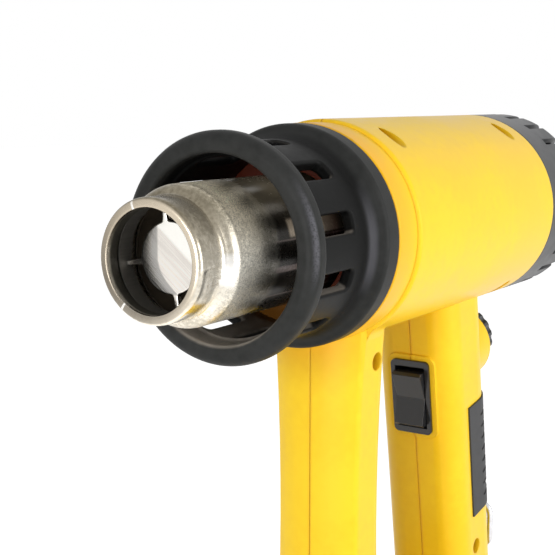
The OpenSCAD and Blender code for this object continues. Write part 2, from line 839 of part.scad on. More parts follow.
module dust_screen() {
    screen_r = cavity_r - 0.3;
    rim_t = 1.2;
    rim_w = 3;
    screen_s = barrel_back - 3 - rim_t - seat_gap;
    pitch = 6;
    wire_w = 0.8;
    last = floor((screen_r - rim_w / 2) / pitch);
    color([0.35, 0.35, 0.36]) gun() {
        about_barrel() strip(screen_r - rim_w, screen_r, screen_s, screen_s + rim_t);
        intersection() {
            x_cyl(screen_r - rim_w / 2, screen_s, screen_s + rim_t);
            for (i = [-last : last]) {
                translate([screen_s, i * pitch - wire_w / 2, -screen_r]) cube([0.6, wire_w, 2 * screen_r]);
                translate([screen_s + 0.5, -screen_r, i * pitch - wire_w / 2])
                    cube([0.7, 2 * screen_r, wire_w]);
            }
        }
    }
}

module switch_body() {
    color([0.08, 0.08, 0.09]) gun() grip_frame() translate([0, 0, switch_z]) difference() {
        union() {
            translate([front_x, 0, 0]) rotate([90, 0, 90]) linear_extrude(bezel_t)
                even_rect(bezel[0], bezel[1], 2);
            translate([front_x - case_size[0], -case_size[1] / 2, -case_size[2] / 2])
                cube([case_size[0] + eps, case_size[1], case_size[2]]);
        }
        translate([front_x - 9, -rocker_w / 2 - 0.2, -rocker_h / 2 - 1.5])
            cube([12, rocker_w + 0.4, rocker_h + 3]);
        translate([trunnion_x, 0, 0]) y_cyl(trunnion_r + run_gap, -case_size[1], case_size[1]);
    }
}

// Side view of the rocker: two wings that meet in a shallow valley over the trunnion
module rocker_outline() {
    half = rocker_h / 2;
    lift = half * tan(rocker_travel);
    polygon([[-3.5, -4], [0.5, -half + 0.4], [3.2 + lift, -half], [4.4 + lift, -half + 1], [3.4, 0],
        [4.4 + lift, half - 1], [3.2 + lift, half], [0.5, half - 0.4], [-3.5, 4]]);
}

module rocker() {
    color([0.14, 0.14, 0.15]) gun() grip_frame() translate([trunnion_x, 0, switch_z]) {
        rotate([90, 0, 0]) linear_extrude(rocker_w, center = true) rocker_outline();
        y_cyl(trunnion_r, -case_size[1] / 2 + 0.2, case_size[1] / 2 - 0.2);
    }
}

module dial() {
    rim = dial_x - dial_gap;
    color([0.12, 0.12, 0.13]) gun() grip_frame() translate([0, 0, dial_z]) {
        difference() {
            x_cyl(dial_d / 2, rim - dial_h, rim);
            about_barrel() corner_waste([dial_d / 2, rim - dial_h], [-1, 1], 1.6);
            for (i = [0 : 17]) rotate([i * 20 + 10, 0, 0])
                translate([rim - dial_h - eps, 0, dial_d / 2 + 0.9]) rotate([0, 90, 0])
                    cylinder(r = 1.9, h = dial_h - 2);
            translate([rim - dial_h - eps, -0.8, dial_d / 2 - 8]) cube([eps + 0.8, 1.6, 9]);
        }
        x_cyl(stem_d / 2, rim - eps, -grip_depth / 2 + wall + regulator_len - 2);
    }
}

module dial_regulator() {
    front = -grip_depth / 2 + wall + 0.2;
    color([0.45, 0.46, 0.50]) gun() grip_frame() translate([0, 0, dial_z]) difference() {
        union() {
            x_cyl(regulator_r, front, front + regulator_len);
            for (y = [-4, 0, 4]) translate([0, y, 4]) x_cyl(0.8, front, front + regulator_len + 3);
        }
        x_cyl(stem_d / 2 + run_gap, front - eps, front + regulator_len - 1);
    }
}

// Places what it is given on the board, from the board's low back corner
module on_board(along, across) {
    gun() translate([board_back + along, -board[1] / 2 + across, board_z + board[2]]) children();
}

module control_board() {
    color([0.16, 0.36, 0.22]) gun() translate([board_back, -board[1] / 2, board_z]) cube(board);
}

module capacitor() color([0.78, 0.66, 0.22]) on_board(19, 5.4) cube(capacitor_size);

module heat_sink() {
    fin_pitch = (sink_size[0] - fin_t) / (fin_count - 1);
    color([0.70, 0.71, 0.73]) on_board(37, 21.4) {
        cube([sink_size[0], sink_size[1], fin_t]);
        for (i = [0 : fin_count - 1]) translate([i * fin_pitch, 0, 0]) cube([fin_t, sink_size[1], sink_size[2]]);
    }
}

module terminal_block() {
    well_r = 1.6;
    color([0.85, 0.84, 0.80]) on_board(4, (board[1] - terminals[1]) / 2) difference() {
        cube(terminals);
        for (i = [0 : 2]) translate([terminals[0] / 2, 4 + i * 7, terminals[2] / 2])
            cylinder(r = well_r, h = terminals[2]);
    }
}

module cord_clamp() {
    color([0.80, 0.79, 0.75]) gun() difference() {
        translate([clamp_s, -clamp[1] / 2, floor_z + 0.1]) cube(clamp);
        translate([0, 0, inlet_z]) x_cyl(inlet_d / 2, clamp_s - eps, clamp_s + clamp[0] + eps);
        for (y = [-clamp_screw_y, clamp_screw_y]) translate([clamp_s + clamp[0] / 2, y, floor_z])
            cylinder(r = clamp_screw_r + 0.1, h = clamp[2] + 1);
    }
}

module clamp_screws() {
    top_z = floor_z + 0.1 + clamp[2];
    color([0.60, 0.61, 0.62]) gun() for (y = [-clamp_screw_y, clamp_screw_y])
        translate([clamp_s + clamp[0] / 2, y, 0]) {
            translate([0, 0, floor_z + 1]) cylinder(r = clamp_screw_r, h = top_z - floor_z);
            translate([0, 0, top_z]) cylinder(r = 2 * clamp_screw_r, h = 1.8);
        }
}

module cord_gland() {
    color([0.09, 0.09, 0.10]) gun() translate([0, 0, inlet_z]) difference() {
        union() {
            x_cyl(gland_r, base_back - 2, base_back - 2 + gland_len);
            x_cyl(gland_flange_r, base_back - 3, base_back - 0.1);
            x_cyl(gland_flange_r - 0.8, base_back + wall + 0.2, base_back + wall + 3);
        }
        x_cyl(inlet_d / 2, base_back - 3 - eps, base_back + gland_len);
        about_barrel() corner_waste([gland_flange_r, base_back - 3], [-1, 1], 1);
    }
}

// Soft cover round the back and sides of the grip, between two depths under the surface
module grip_cover_form(outset, depth, gap) {
    height = cover_top - cover_bottom + 2 * gap;
    translate([0, 0, cover_bottom - gap]) linear_extrude(height) intersection() {
        difference() {
            grip_section(-outset);
            grip_section(depth);
        }
        translate([-grip_depth, -grip_w]) square([grip_depth + 6 + gap, 2 * grip_w]);
    }
}

module grip_cover() {
    color([0.11, 0.11, 0.12]) gun() grip_frame() difference() {
        grip_cover_form(cover_proud, cover_t - cover_proud - 0.05, 0);
        for (i = [0 : 7]) translate([0, 0, cover_bottom + 5 + i * 5]) linear_extrude(1.6) difference() {
            grip_section(-cover_proud - eps);
            grip_section(-cover_proud + 0.5);
            translate([-4, -grip_w]) square([grip_depth, 2 * grip_w]);
        }
    }
}

module pad_form(gap, z0, z1) {
    length = base_front - base_back - 26;
    translate([(base_front + base_back) / 2, 0, z0]) linear_extrude(z1 - z0)
        even_rect(length + 2 * gap, base_w - 8 + 2 * gap, 8 + gap);
}

module foot_pad() {
    color([0.08, 0.08, 0.08]) gun()
        pad_form(0, base_bottom - pad_proud, base_bottom + pad_t - pad_proud - 0.05);
}

module hang_ring() {
    r = ring_wire_d / 2;
    half_w = hang_w / 2;
    y_bend = half_w - hang_corner;
    color([0.74, 0.75, 0.77]) gun() translate([hang_s, 0, hang_z]) {
        for (z = [0, -hang_h]) translate([0, 0, z]) y_cyl(r, -y_bend, y_bend);
        for (y = [-half_w, half_w]) translate([0, y, -hang_h + hang_corner])
            cylinder(r = r, h = hang_h - 2 * hang_corner);
        for (bend = [[1, -hang_h + hang_corner, 0], [1, -hang_corner, 90], [-1, -hang_corner, 180],
                [-1, -hang_h + hang_corner, 270]])
            translate([0, bend[0] * y_bend, bend[1]]) rotate([bend[2], 0, 0]) rotate([0, 90, 0])
                rotate_extrude(angle = 90) translate([hang_corner, 0]) circle(r);
    }
}

module housing_screws() {
    color([0.55, 0.56, 0.58]) gun() for (p = screw_places) translate([p[0], 0, p[1]]) difference() {
        union() {
            y_cyl(screw_d / 2, -screw_seat, screw_seat + eps);
            y_cyl(screw_head_d / 2, screw_seat, screw_seat + head_h);
        }
        translate([-0.5, screw_seat + head_h - 1.4, -2.2]) cube([1, 2, 4.4]);
        translate([-2.2, screw_seat + head_h - 1.4, -0.5]) cube([4.4, 2, 1]);
    }
}

left_housing();
right_housing();
guard();
nozzle();
baffle();
mica_sleeve();
heater_core();
heating_elements();
heater_plate();
thermal_cutout();
air_guide();
fan();
motor_shaft();
armature();
motor_case();
motor_magnets();
motor_carrier();
motor_boot();
rear_cap();
dust_screen();
switch_body();
rocker();
dial();
dial_regulator();
control_board();
capacitor();
heat_sink();
terminal_block();
cord_clamp();
cord_gland();
grip_cover();
foot_pad();
hang_ring();
housing_screws();
clamp_screws();
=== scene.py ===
"""Looks of a hot air tool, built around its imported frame.

Lengths are in metres. +X is the way the air blows, +Y is the tool's left side and +Z is up. The finishes
give places in millimetres behind the mouth or from the barrel's axis, and turns in radians from the top
towards the left side, unless a name says degrees.
"""
import logging
import math
from dataclasses import dataclass
from typing import Any, Iterable, Sequence

import bmesh
import bpy
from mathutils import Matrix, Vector


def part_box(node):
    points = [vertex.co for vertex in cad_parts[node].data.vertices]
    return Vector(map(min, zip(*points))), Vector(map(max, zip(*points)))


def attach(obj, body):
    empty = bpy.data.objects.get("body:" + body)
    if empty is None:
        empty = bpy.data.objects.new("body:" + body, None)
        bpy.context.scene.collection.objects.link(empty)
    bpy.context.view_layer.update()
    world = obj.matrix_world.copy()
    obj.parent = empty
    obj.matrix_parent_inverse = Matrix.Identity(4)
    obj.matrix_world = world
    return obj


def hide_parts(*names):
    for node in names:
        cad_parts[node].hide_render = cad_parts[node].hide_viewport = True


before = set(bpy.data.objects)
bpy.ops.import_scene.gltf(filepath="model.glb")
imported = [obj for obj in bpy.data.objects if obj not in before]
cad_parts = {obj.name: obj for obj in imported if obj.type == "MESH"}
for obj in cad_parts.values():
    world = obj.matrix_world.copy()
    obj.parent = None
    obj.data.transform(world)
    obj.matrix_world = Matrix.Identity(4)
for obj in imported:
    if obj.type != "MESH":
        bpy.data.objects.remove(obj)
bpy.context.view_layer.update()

LOG = logging.getLogger("hot_air_tool")
Colour = tuple[float, float, float]
Point = tuple[float, float, float]
RoundPoint = tuple[float, float]
Span = tuple[float, float]
Places = tuple[float, float, float, float]

MM = 0.001
WELD = 2e-6
UPWARD_FACES = "upward_inner_faces"
MOUTH_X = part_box("nozzle")[1].x
AXIS_Z = (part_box("guard")[0].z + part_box("guard")[1].z) / 2


class Sheet:
    """A node tree with short calls that add and link its nodes."""

    def __init__(self, tree: bpy.types.NodeTree) -> None:
        """Keeps the shader or geometry tree to write in."""
        self.tree = tree

    def add(self, kind: str, inputs: dict[str | int, Any] | None = None, **settings: Any) -> bpy.types.Node:
        """Adds one node.

        Args:
            kind: Blender's name for the node type.
            inputs: A value or another node's socket for each input.
            settings: The node's own settings.

        Returns:
            The new node.
        """
        node = self.tree.nodes.new(kind)
        for name, value in settings.items():
            setattr(node, name, value)
        self.feed(node, inputs or {})
        return node

    def feed(self, node: bpy.types.Node, inputs: dict[str | int, Any]) -> None:
        """Fills a node's inputs.

        Args:
            node: The node.
            inputs: A value or another node's socket for each input. A colour gets its alpha here.
        """
        for name, value in inputs.items():
            socket = node.inputs[name]
            if isinstance(value, bpy.types.NodeSocket):
                self.tree.links.new(value, socket)
            else:
                socket.default_value = (*value, 1.0) if socket.type == "RGBA" else value

    def maths(self, operation: str, *values: Any, clamp: bool = False) -> Any:
        """Adds a Math node on numbers or sockets and returns its result."""
        node = self.add("ShaderNodeMath", dict(enumerate(values)), operation=operation, use_clamp=clamp)
        return node.outputs[0]

    def times(self, first: Any, *others: Any) -> Any:
        """Multiplies numbers or sockets."""
        for other in others:
            first = self.maths("MULTIPLY", first, other)
        return first

    def plus(self, first: Any, *others: Any) -> Any:
        """Adds up numbers or sockets."""
        for other in others:
            first = self.maths("ADD", first, other)
        return first

    def most(self, first: Any, *others: Any) -> Any:
        """Takes the largest of several numbers or sockets."""
        for other in others:
            first = self.maths("MAXIMUM", first, other)
        return first

    def gap(self, value: Any, centre: float) -> Any:
        """Works out how far a value is from a centre."""
        return self.maths("ABSOLUTE", self.maths("SUBTRACT", value, centre))

    def ramp(self, value: Any, low: float, high: float, start: float = 0.0, end: float = 1.0) -> Any:
        """Adds a smooth step.

        Args:
            value: The socket to read.
            low: Where the step starts.
            high: Where the step ends.
            start: The result before the step.
            end: The result after the step.

        Returns:
            The result's socket.
        """
        inputs = {"Value": value, "From Min": low, "From Max": high, "To Min": start, "To Max": end}
        return self.add("ShaderNodeMapRange", inputs, interpolation_type="SMOOTHSTEP").outputs["Result"]

    def fall(self, value: Any, span: Span, top: float = 1.0) -> Any:
        """Adds a smooth step from the top down to 0."""
        return self.ramp(value, *span, top, 0.0)

    def hump(self, value: Any, places: Places) -> Any:
        """Adds a hump that rises between the first two places and falls between the last two."""
        return self.times(self.ramp(value, *places[:2]), self.fall(value, places[2:]))

    def between(self, mask: Any, start: float, end: float) -> Any:
        """Turns a mask into a value from start, where it is 0, to end, where it is 1."""
        return self.ramp(mask, 0.0, 1.0, start, end)

    def noise(self, vector: Any, scale: Any, detail: float) -> Any:
        """Adds a noise texture and returns its value."""
        return self.add("ShaderNodeTexNoise", {"Vector": vector, "Scale": scale, "Detail": detail}).outputs[0]

    def parts(self, vector: Any) -> Iterable[Any]:
        """Splits a vector into X, Y and Z."""
        return self.add("ShaderNodeSeparateXYZ", {0: vector}).outputs

    def joined(self, x: Any, y: Any) -> Any:
        """Joins two numbers to a flat vector."""
        return self.add("ShaderNodeCombineXYZ", {"X": x, "Y": y}).outputs[0]

    def mix(self, mask: Any, first: Any, second: Any, blend: str = "MIX") -> Any:
        """Mixes two colours.

        Args:
            mask: The share of the second colour.
            first: A colour or a socket.
            second: A colour or a socket.
            blend: The blend type.

        Returns:
            The mixed colour's socket.
        """
        inputs = {0: mask, 6: first, 7: second}
        return self.add("ShaderNodeMix", inputs, data_type="RGBA", blend_type=blend).outputs[2]

    def cover(self, colour: Any, *layers: tuple[Any, Any]) -> Any:
        """Lays colours over a colour, each given with its mask."""
        for mask, tone in layers:
            colour = self.mix(mask, colour, tone)
        return colour


def new_group(name: str, inputs: dict[str, Any], outputs: Iterable[str]) -> tuple[Sheet, Any, bpy.types.Node]:
    """Starts a shader node group that reads a vector.

    Args:
        name: The group's name.
        inputs: The first value, a colour or a number, of each input beside the vector.
        outputs: The outputs' names. Each is a number, but the one called Colour.

    Returns:
        The group's sheet, its input sockets and its output node.
    """
    tree = bpy.data.node_groups.new(name, "ShaderNodeTree")
    tree.interface.new_socket("Vector", in_out="INPUT", socket_type="NodeSocketVector")
    for socket, value in inputs.items():
        is_colour = isinstance(value, tuple)
        kind = "NodeSocketColor" if is_colour else "NodeSocketFloat"
        made = tree.interface.new_socket(socket, in_out="INPUT", socket_type=kind)
        made.default_value = (*value, 1.0) if is_colour else value
    for socket in outputs:
        kind = "NodeSocketColor" if socket == "Colour" else "NodeSocketFloat"
        tree.interface.new_socket(socket, in_out="OUTPUT", socket_type=kind)
    sheet = Sheet(tree)
    return sheet, sheet.add("NodeGroupInput").outputs, sheet.add("NodeGroupOutput")


class Effects:
    """The surface effects that several finishes share, each a shader node group."""

    drift_contrast: Span = (0.36, 0.64)
    brush_contrast: Span = (0.38, 0.62)
    broad_share: float = 0.16

    def __init__(self) -> None:
        """Builds every group once."""
        self.place = self._barrel_place()
        self.grain = self._fine_grain()
        self.drift = self._tone_drift()
        self.specks = self._dust_specks()
        self.brush = self._brush_lines()

    @staticmethod
    def _barrel_place() -> bpy.types.NodeTree:
        """How far behind the mouth, the turn, how far from the axis, and how far left and above it."""
        sheet, source, result = new_group("barrel_place", {}, ("Behind", "Turn", "Radius", "Side", "Height"))
        x, y, z = sheet.parts(source["Vector"])
        behind = sheet.times(sheet.maths("SUBTRACT", MOUTH_X, x), 1 / MM)
        side = sheet.times(y, 1 / MM)
        height = sheet.times(sheet.maths("SUBTRACT", z, AXIS_Z), 1 / MM)
        radius = sheet.maths("SQRT", sheet.plus(sheet.times(side, side), sheet.times(height, height)))
        sheet.feed(result, {"Behind": behind, "Turn": sheet.maths("ARCTAN2", side, height), "Radius": radius,
                            "Side": side, "Height": height})
        return sheet.tree

    @staticmethod
    def _fine_grain() -> bpy.types.NodeTree:
        """Height of a fine moulded grain over a slow waviness."""
        inputs = {"Scale": 2500.0, "Wave Scale": 60.0, "Wave Share": 0.3}
        sheet, source, result = new_group("fine_grain", inputs, ("Height",))
        fine = sheet.noise(source["Vector"], source["Scale"], 3.0)
        wave = sheet.noise(source["Vector"], source["Wave Scale"], 1.0)
        sheet.feed(result, {"Height": sheet.plus(fine, sheet.times(wave, source["Wave Share"]))})
        return sheet.tree

    def _tone_drift(self) -> bpy.types.NodeTree:
        """A colour that drifts slowly between two tones, with a finer mottle in it."""
        inputs = {"Light": (1.0, 1.0, 1.0), "Dark": (0.5, 0.5, 0.5), "Scale": 40.0, "Mottle Scale": 400.0,
                  "Mottle Share": 0.4}
        sheet, source, result = new_group("tone_drift", inputs, ("Colour", "Mask"))
        slow = sheet.noise(source["Vector"], source["Scale"], 2.0)
        fast = sheet.noise(source["Vector"], source["Mottle Scale"], 4.0)
        kept = sheet.maths("SUBTRACT", 1.0, source["Mottle Share"])
        mask = sheet.plus(sheet.times(slow, kept), sheet.times(fast, source["Mottle Share"]))
        mask = sheet.ramp(mask, *self.drift_contrast)
        sheet.feed(result, {"Colour": sheet.mix(mask, source["Dark"], source["Light"]), "Mask": mask})
        return sheet.tree

    @staticmethod
    def _dust_specks() -> bpy.types.NodeTree:
        """A mask of small scattered specks of dust."""
        inputs = {"Scale": 120.0, "Size": 0.02, "Share": 0.2}
        sheet, source, result = new_group("dust_specks", inputs, ("Mask",))
        values = {"Vector": source["Vector"], "Scale": source["Scale"], "Randomness": 1.0}
        cells = sheet.add("ShaderNodeTexVoronoi", values).outputs
        near = sheet.maths("LESS_THAN", cells["Distance"], source["Size"])
        draw = sheet.add("ShaderNodeSeparateColor", {0: cells["Color"]}).outputs[0]
        sheet.feed(result, {"Mask": sheet.times(near, sheet.maths("LESS_THAN", draw, source["Share"]))})
        return sheet.tree

    def _brush_lines(self) -> bpy.types.NodeTree:
        """A mask of straight brush lines, thin across Y of the turned vector and long along its X."""
        sheet, source, result = new_group("brush_lines", {"Fineness": 3000.0, "Length": 30.0}, ("Mask",))
        x, y, _ = sheet.parts(source["Vector"])
        along, across = sheet.times(x, source["Length"]), sheet.times(y, source["Fineness"])
        fine = sheet.noise(sheet.joined(along, across), 1.0, 3.0)
        broad = sheet.noise(sheet.joined(along, sheet.times(across, self.broad_share)), 1.0, 2.0)
        mean = sheet.times(sheet.plus(fine, broad), 0.5)
        sheet.feed(result, {"Mask": sheet.ramp(mean, *self.brush_contrast)})
        return sheet.tree


class MaterialSheet(Sheet):
    """A material's tree, with its shader, its coordinates and its bump."""

    def __init__(self, name: str) -> None:
        """Starts an empty material of that name."""
        self.material = bpy.data.materials.new(name)
        self.material.use_nodes = True
        super().__init__(self.material.node_tree)
        self.tree.nodes.clear()
        self.shader = self.add("ShaderNodeBsdfPrincipled")
        self.add("ShaderNodeOutputMaterial", {"Surface": self.shader.outputs[0]})
        self.coords = self.add("ShaderNodeTexCoord").outputs["Object"]

    def set(self, **values: Any) -> None:
        """Sets the shader's own sockets; an underscore in a name stands for a space."""
        self.feed(self.shader, {name.replace("_", " "): value for name, value in values.items()})

    def effect(self, tree: bpy.types.NodeTree, **values: Any) -> Any:
        """Places a shared effect on the object's coordinates.

        Args:
            tree: The effect's node group.
            values: Its inputs; an underscore in a name stands for a space.

        Returns:
            Its output sockets.
        """
        inputs = {name.replace("_", " "): value for name, value in values.items()}
        return self.add("ShaderNodeGroup", {"Vector": self.coords, **inputs}, node_tree=tree).outputs

    def place(self, effects: Effects, *names: str) -> list[Any]:
        """Gives the named sockets of the place on the barrel."""
        outputs = self.effect(effects.place)
        return [outputs[name] for name in names]

    def bump(self, height: Any, distance: float, soft_edge: float = 0.0) -> None:
        """Feeds a height to the shader's normal.

        Args:
            height: The height's socket.
            distance: How far a height of 1 stands out.
            soft_edge: The radius by which sharp edges look rounded.
        """
        inputs = {"Height": height, "Distance": distance, "Strength": 1.0}
        if soft_edge:
            inputs["Normal"] = self.add("ShaderNodeBevel", {"Radius": soft_edge}, samples=4).outputs[0]
        self.set(Normal=self.add("ShaderNodeBump", inputs).outputs[0])


@dataclass(frozen=True)
class MouldedPlastic:
    """Moulded plastic or rubber, with a fine grain and a slow drift of tone."""

    name: str
    light: Colour
    dark: Colour
    roughness: float
    grain_depth: float = 0.00002
    wave_share: float = 0.6
    specular: float = 0.5
    soft_edge: float = 0.0004
    uneven: float = 0.04

    def make(self, effects: Effects) -> bpy.types.Material:
        """Builds the material from the shared effects."""
        sheet = MaterialSheet(self.name)
        drift = sheet.effect(effects.drift, Light=self.light, Dark=self.dark, Scale=25.0, Mottle_Scale=300.0,
                             Mottle_Share=0.35)
        mask = drift["Mask"]
        rough = sheet.between(mask, self.roughness - self.uneven, self.roughness + self.uneven)
        sheet.set(Base_Color=self.worn(sheet, effects, drift["Colour"], mask), Roughness=rough,
                  Specular_IOR_Level=self.specular)
        grain = sheet.effect(effects.grain, Scale=2500.0, Wave_Share=self.wave_share)
        sheet.bump(grain["Height"], self.grain_depth, self.soft_edge)
        return sheet.material

    def worn(self, sheet: MaterialSheet, effects: Effects, colour: Any, mask: Any) -> Any:
        """Puts the traces of use and any painted light and shade on the colour; a plain finish has none.

        Args:
            sheet: The material's sheet.
            effects: The shared effects.
            colour: The clean colour.
            mask: The mask of its drift.

        Returns:
            The colour's socket.
        """
        return colour


@dataclass(frozen=True)
class HousingPlastic(MouldedPlastic):
    """The housing's plastic: painted shade beside the guard and on its nose, and a darker parting line."""

    # Painted shade: the housing's nose deep inside the guard, in dark red-brown.
    nose_shade: Colour = (0.10, 0.017, 0.007)
    # A deeper orange: painted shade beside the guard's collar, also used to darken the parting line.
    collar_shade_and_line_tone: Colour = (0.86, 0.36, 0.012)
    collar_shade_behind: Span = (78.0, 94.0)
    collar_shade_radius: Span = (36.0, 56.0)
    collar_shade_share: float = 0.55
    line_reach: Span = (0.3, 1.2)
    line_share: float = 0.28
    nose_radius: Span = (31.0, 31.3)
    nose_behind: Span = (72.0, 78.0)
    nose_low: Span = (2.15, 2.6)
    nose_low_share: float = 0.86

    def worn(self, sheet: MaterialSheet, effects: Effects, colour: Any, mask: Any) -> Any:
        """Puts painted shade beside the guard and on the nose, and a darker parting line, on the colour."""
        behind, turn, radius, side = sheet.place(effects, "Behind", "Turn", "Radius", "Side")
        # Painted shade of the guard's collar on the housing just behind it; the parting line is darkened with
        # it.
        warm = sheet.times(sheet.fall(behind, self.collar_shade_behind, self.collar_shade_share),
                           sheet.fall(radius, self.collar_shade_radius))
        parting = sheet.fall(sheet.maths("ABSOLUTE", side), self.line_reach, self.line_share)
        # Painted shade on the nose inside the guard, a little weaker at the bottom.
        low = sheet.ramp(sheet.maths("ABSOLUTE", turn), *self.nose_low, 1.0, self.nose_low_share)
        nose = sheet.times(sheet.fall(radius, self.nose_radius), low, sheet.fall(behind, self.nose_behind))
        return sheet.cover(colour, (sheet.most(warm, parting), self.collar_shade_and_line_tone), (nose, self.nose_shade))


@dataclass(frozen=True)
class GuardPlastic(MouldedPlastic):
    """The guard's plastic: painted shade inside, a painted sheen on the left, pale up-facing inner faces."""

    dust: float = 0.05
    speck: Colour = (0.7, 0.7, 0.68)
    shade: Colour = (0.0, 0.0, 0.0)
    shade_radius: Span = (31.3, 33.5)
    shade_behind: Span = (32.0, 34.0)
    shade_share: float = 0.8
    # Painted sheen on the ring's rear crest and in the flare's hollow, on the left side.
    painted_sheen: Colour = (0.095, 0.094, 0.105)
    sheen_contrast: tuple[float, float, float] = (0.3, 0.6, 0.35)
    ring_behind: Places = (29.9, 31.3, 31.5, 32.6)
    ring_turn: Places = (0.8, 1.35, 1.5, 1.9)
    ring_radius: Span = (32.0, 33.6)
    hollow_behind: Span = (50.0, 52.0)
    hollow_turn: Places = (0.9, 1.5, 1.75, 2.15)
    hollow_radius: Places = (31.25, 31.9, 32.4, 33.8)
    hollow_share: float = 0.6
    # A paler tan-grey on inner faces that look up.
    upward_pale: Colour = (0.24, 0.215, 0.185)
    upward_share: float = 0.7

    def worn(self, sheet: MaterialSheet, effects: Effects, colour: Any, mask: Any) -> Any:
        """Puts dust specks, painted shade, painted sheen and pale up-facing inner faces on the colour."""
        behind, turn, radius = sheet.place(effects, "Behind", "Turn", "Radius")
        specks = sheet.effect(effects.specks, Scale=160.0, Size=0.03, Share=self.dust)
        shaded = sheet.times(sheet.fall(radius, self.shade_radius, self.shade_share),
                             sheet.ramp(behind, *self.shade_behind))
        # Painted sheen: a grained patch on the ring's crest and a soft one in the flare's hollow.
        grain = sheet.ramp(sheet.noise(sheet.coords, 1800.0, 2.0), *self.sheen_contrast)
        ring = sheet.times(sheet.hump(behind, self.ring_behind), sheet.hump(turn, self.ring_turn), grain,
                           sheet.ramp(radius, *self.ring_radius))
        hollow = sheet.times(sheet.hump(radius, self.hollow_radius), sheet.hump(turn, self.hollow_turn),
                             self.hollow_share, sheet.ramp(behind, *self.hollow_behind))
        # Inner faces that look up are made a paler tan-grey.
        looking_up = sheet.add("ShaderNodeAttribute", attribute_name=UPWARD_FACES).outputs["Fac"]
        looking_up = sheet.times(looking_up, sheet.between(mask, self.upward_share, 1.0))
        return sheet.cover(colour, (specks["Mask"], self.speck), (shaded, self.shade),
                           (sheet.most(ring, hollow), self.painted_sheen), (looking_up, self.upward_pale))


@dataclass(frozen=True)
class WorkedMetal:
    """Plain metal with a mottle and fine pits."""

    name: str
    light: Colour
    dark: Colour
    roughness: float
    grain_depth: float = 0.00001
    duller: float = 0.06
    brighter: float = 0.05

    def make(self, effects: Effects) -> bpy.types.Material:
        """Builds the material from the shared effects."""
        sheet = MaterialSheet(self.name)
        drift = sheet.effect(effects.drift, Light=self.light, Dark=self.dark, Scale=60.0, Mottle_Scale=300.0,
                             Mottle_Share=0.5)
        rough = sheet.between(drift["Mask"], self.roughness + self.duller, self.roughness - self.brighter)
        sheet.set(Base_Color=drift["Colour"], Roughness=rough, Metallic=1.0)
        grain = sheet.effect(effects.grain, Scale=1500.0)
        sheet.bump(grain["Height"], self.grain_depth, soft_edge=0.0002)
        return sheet.material


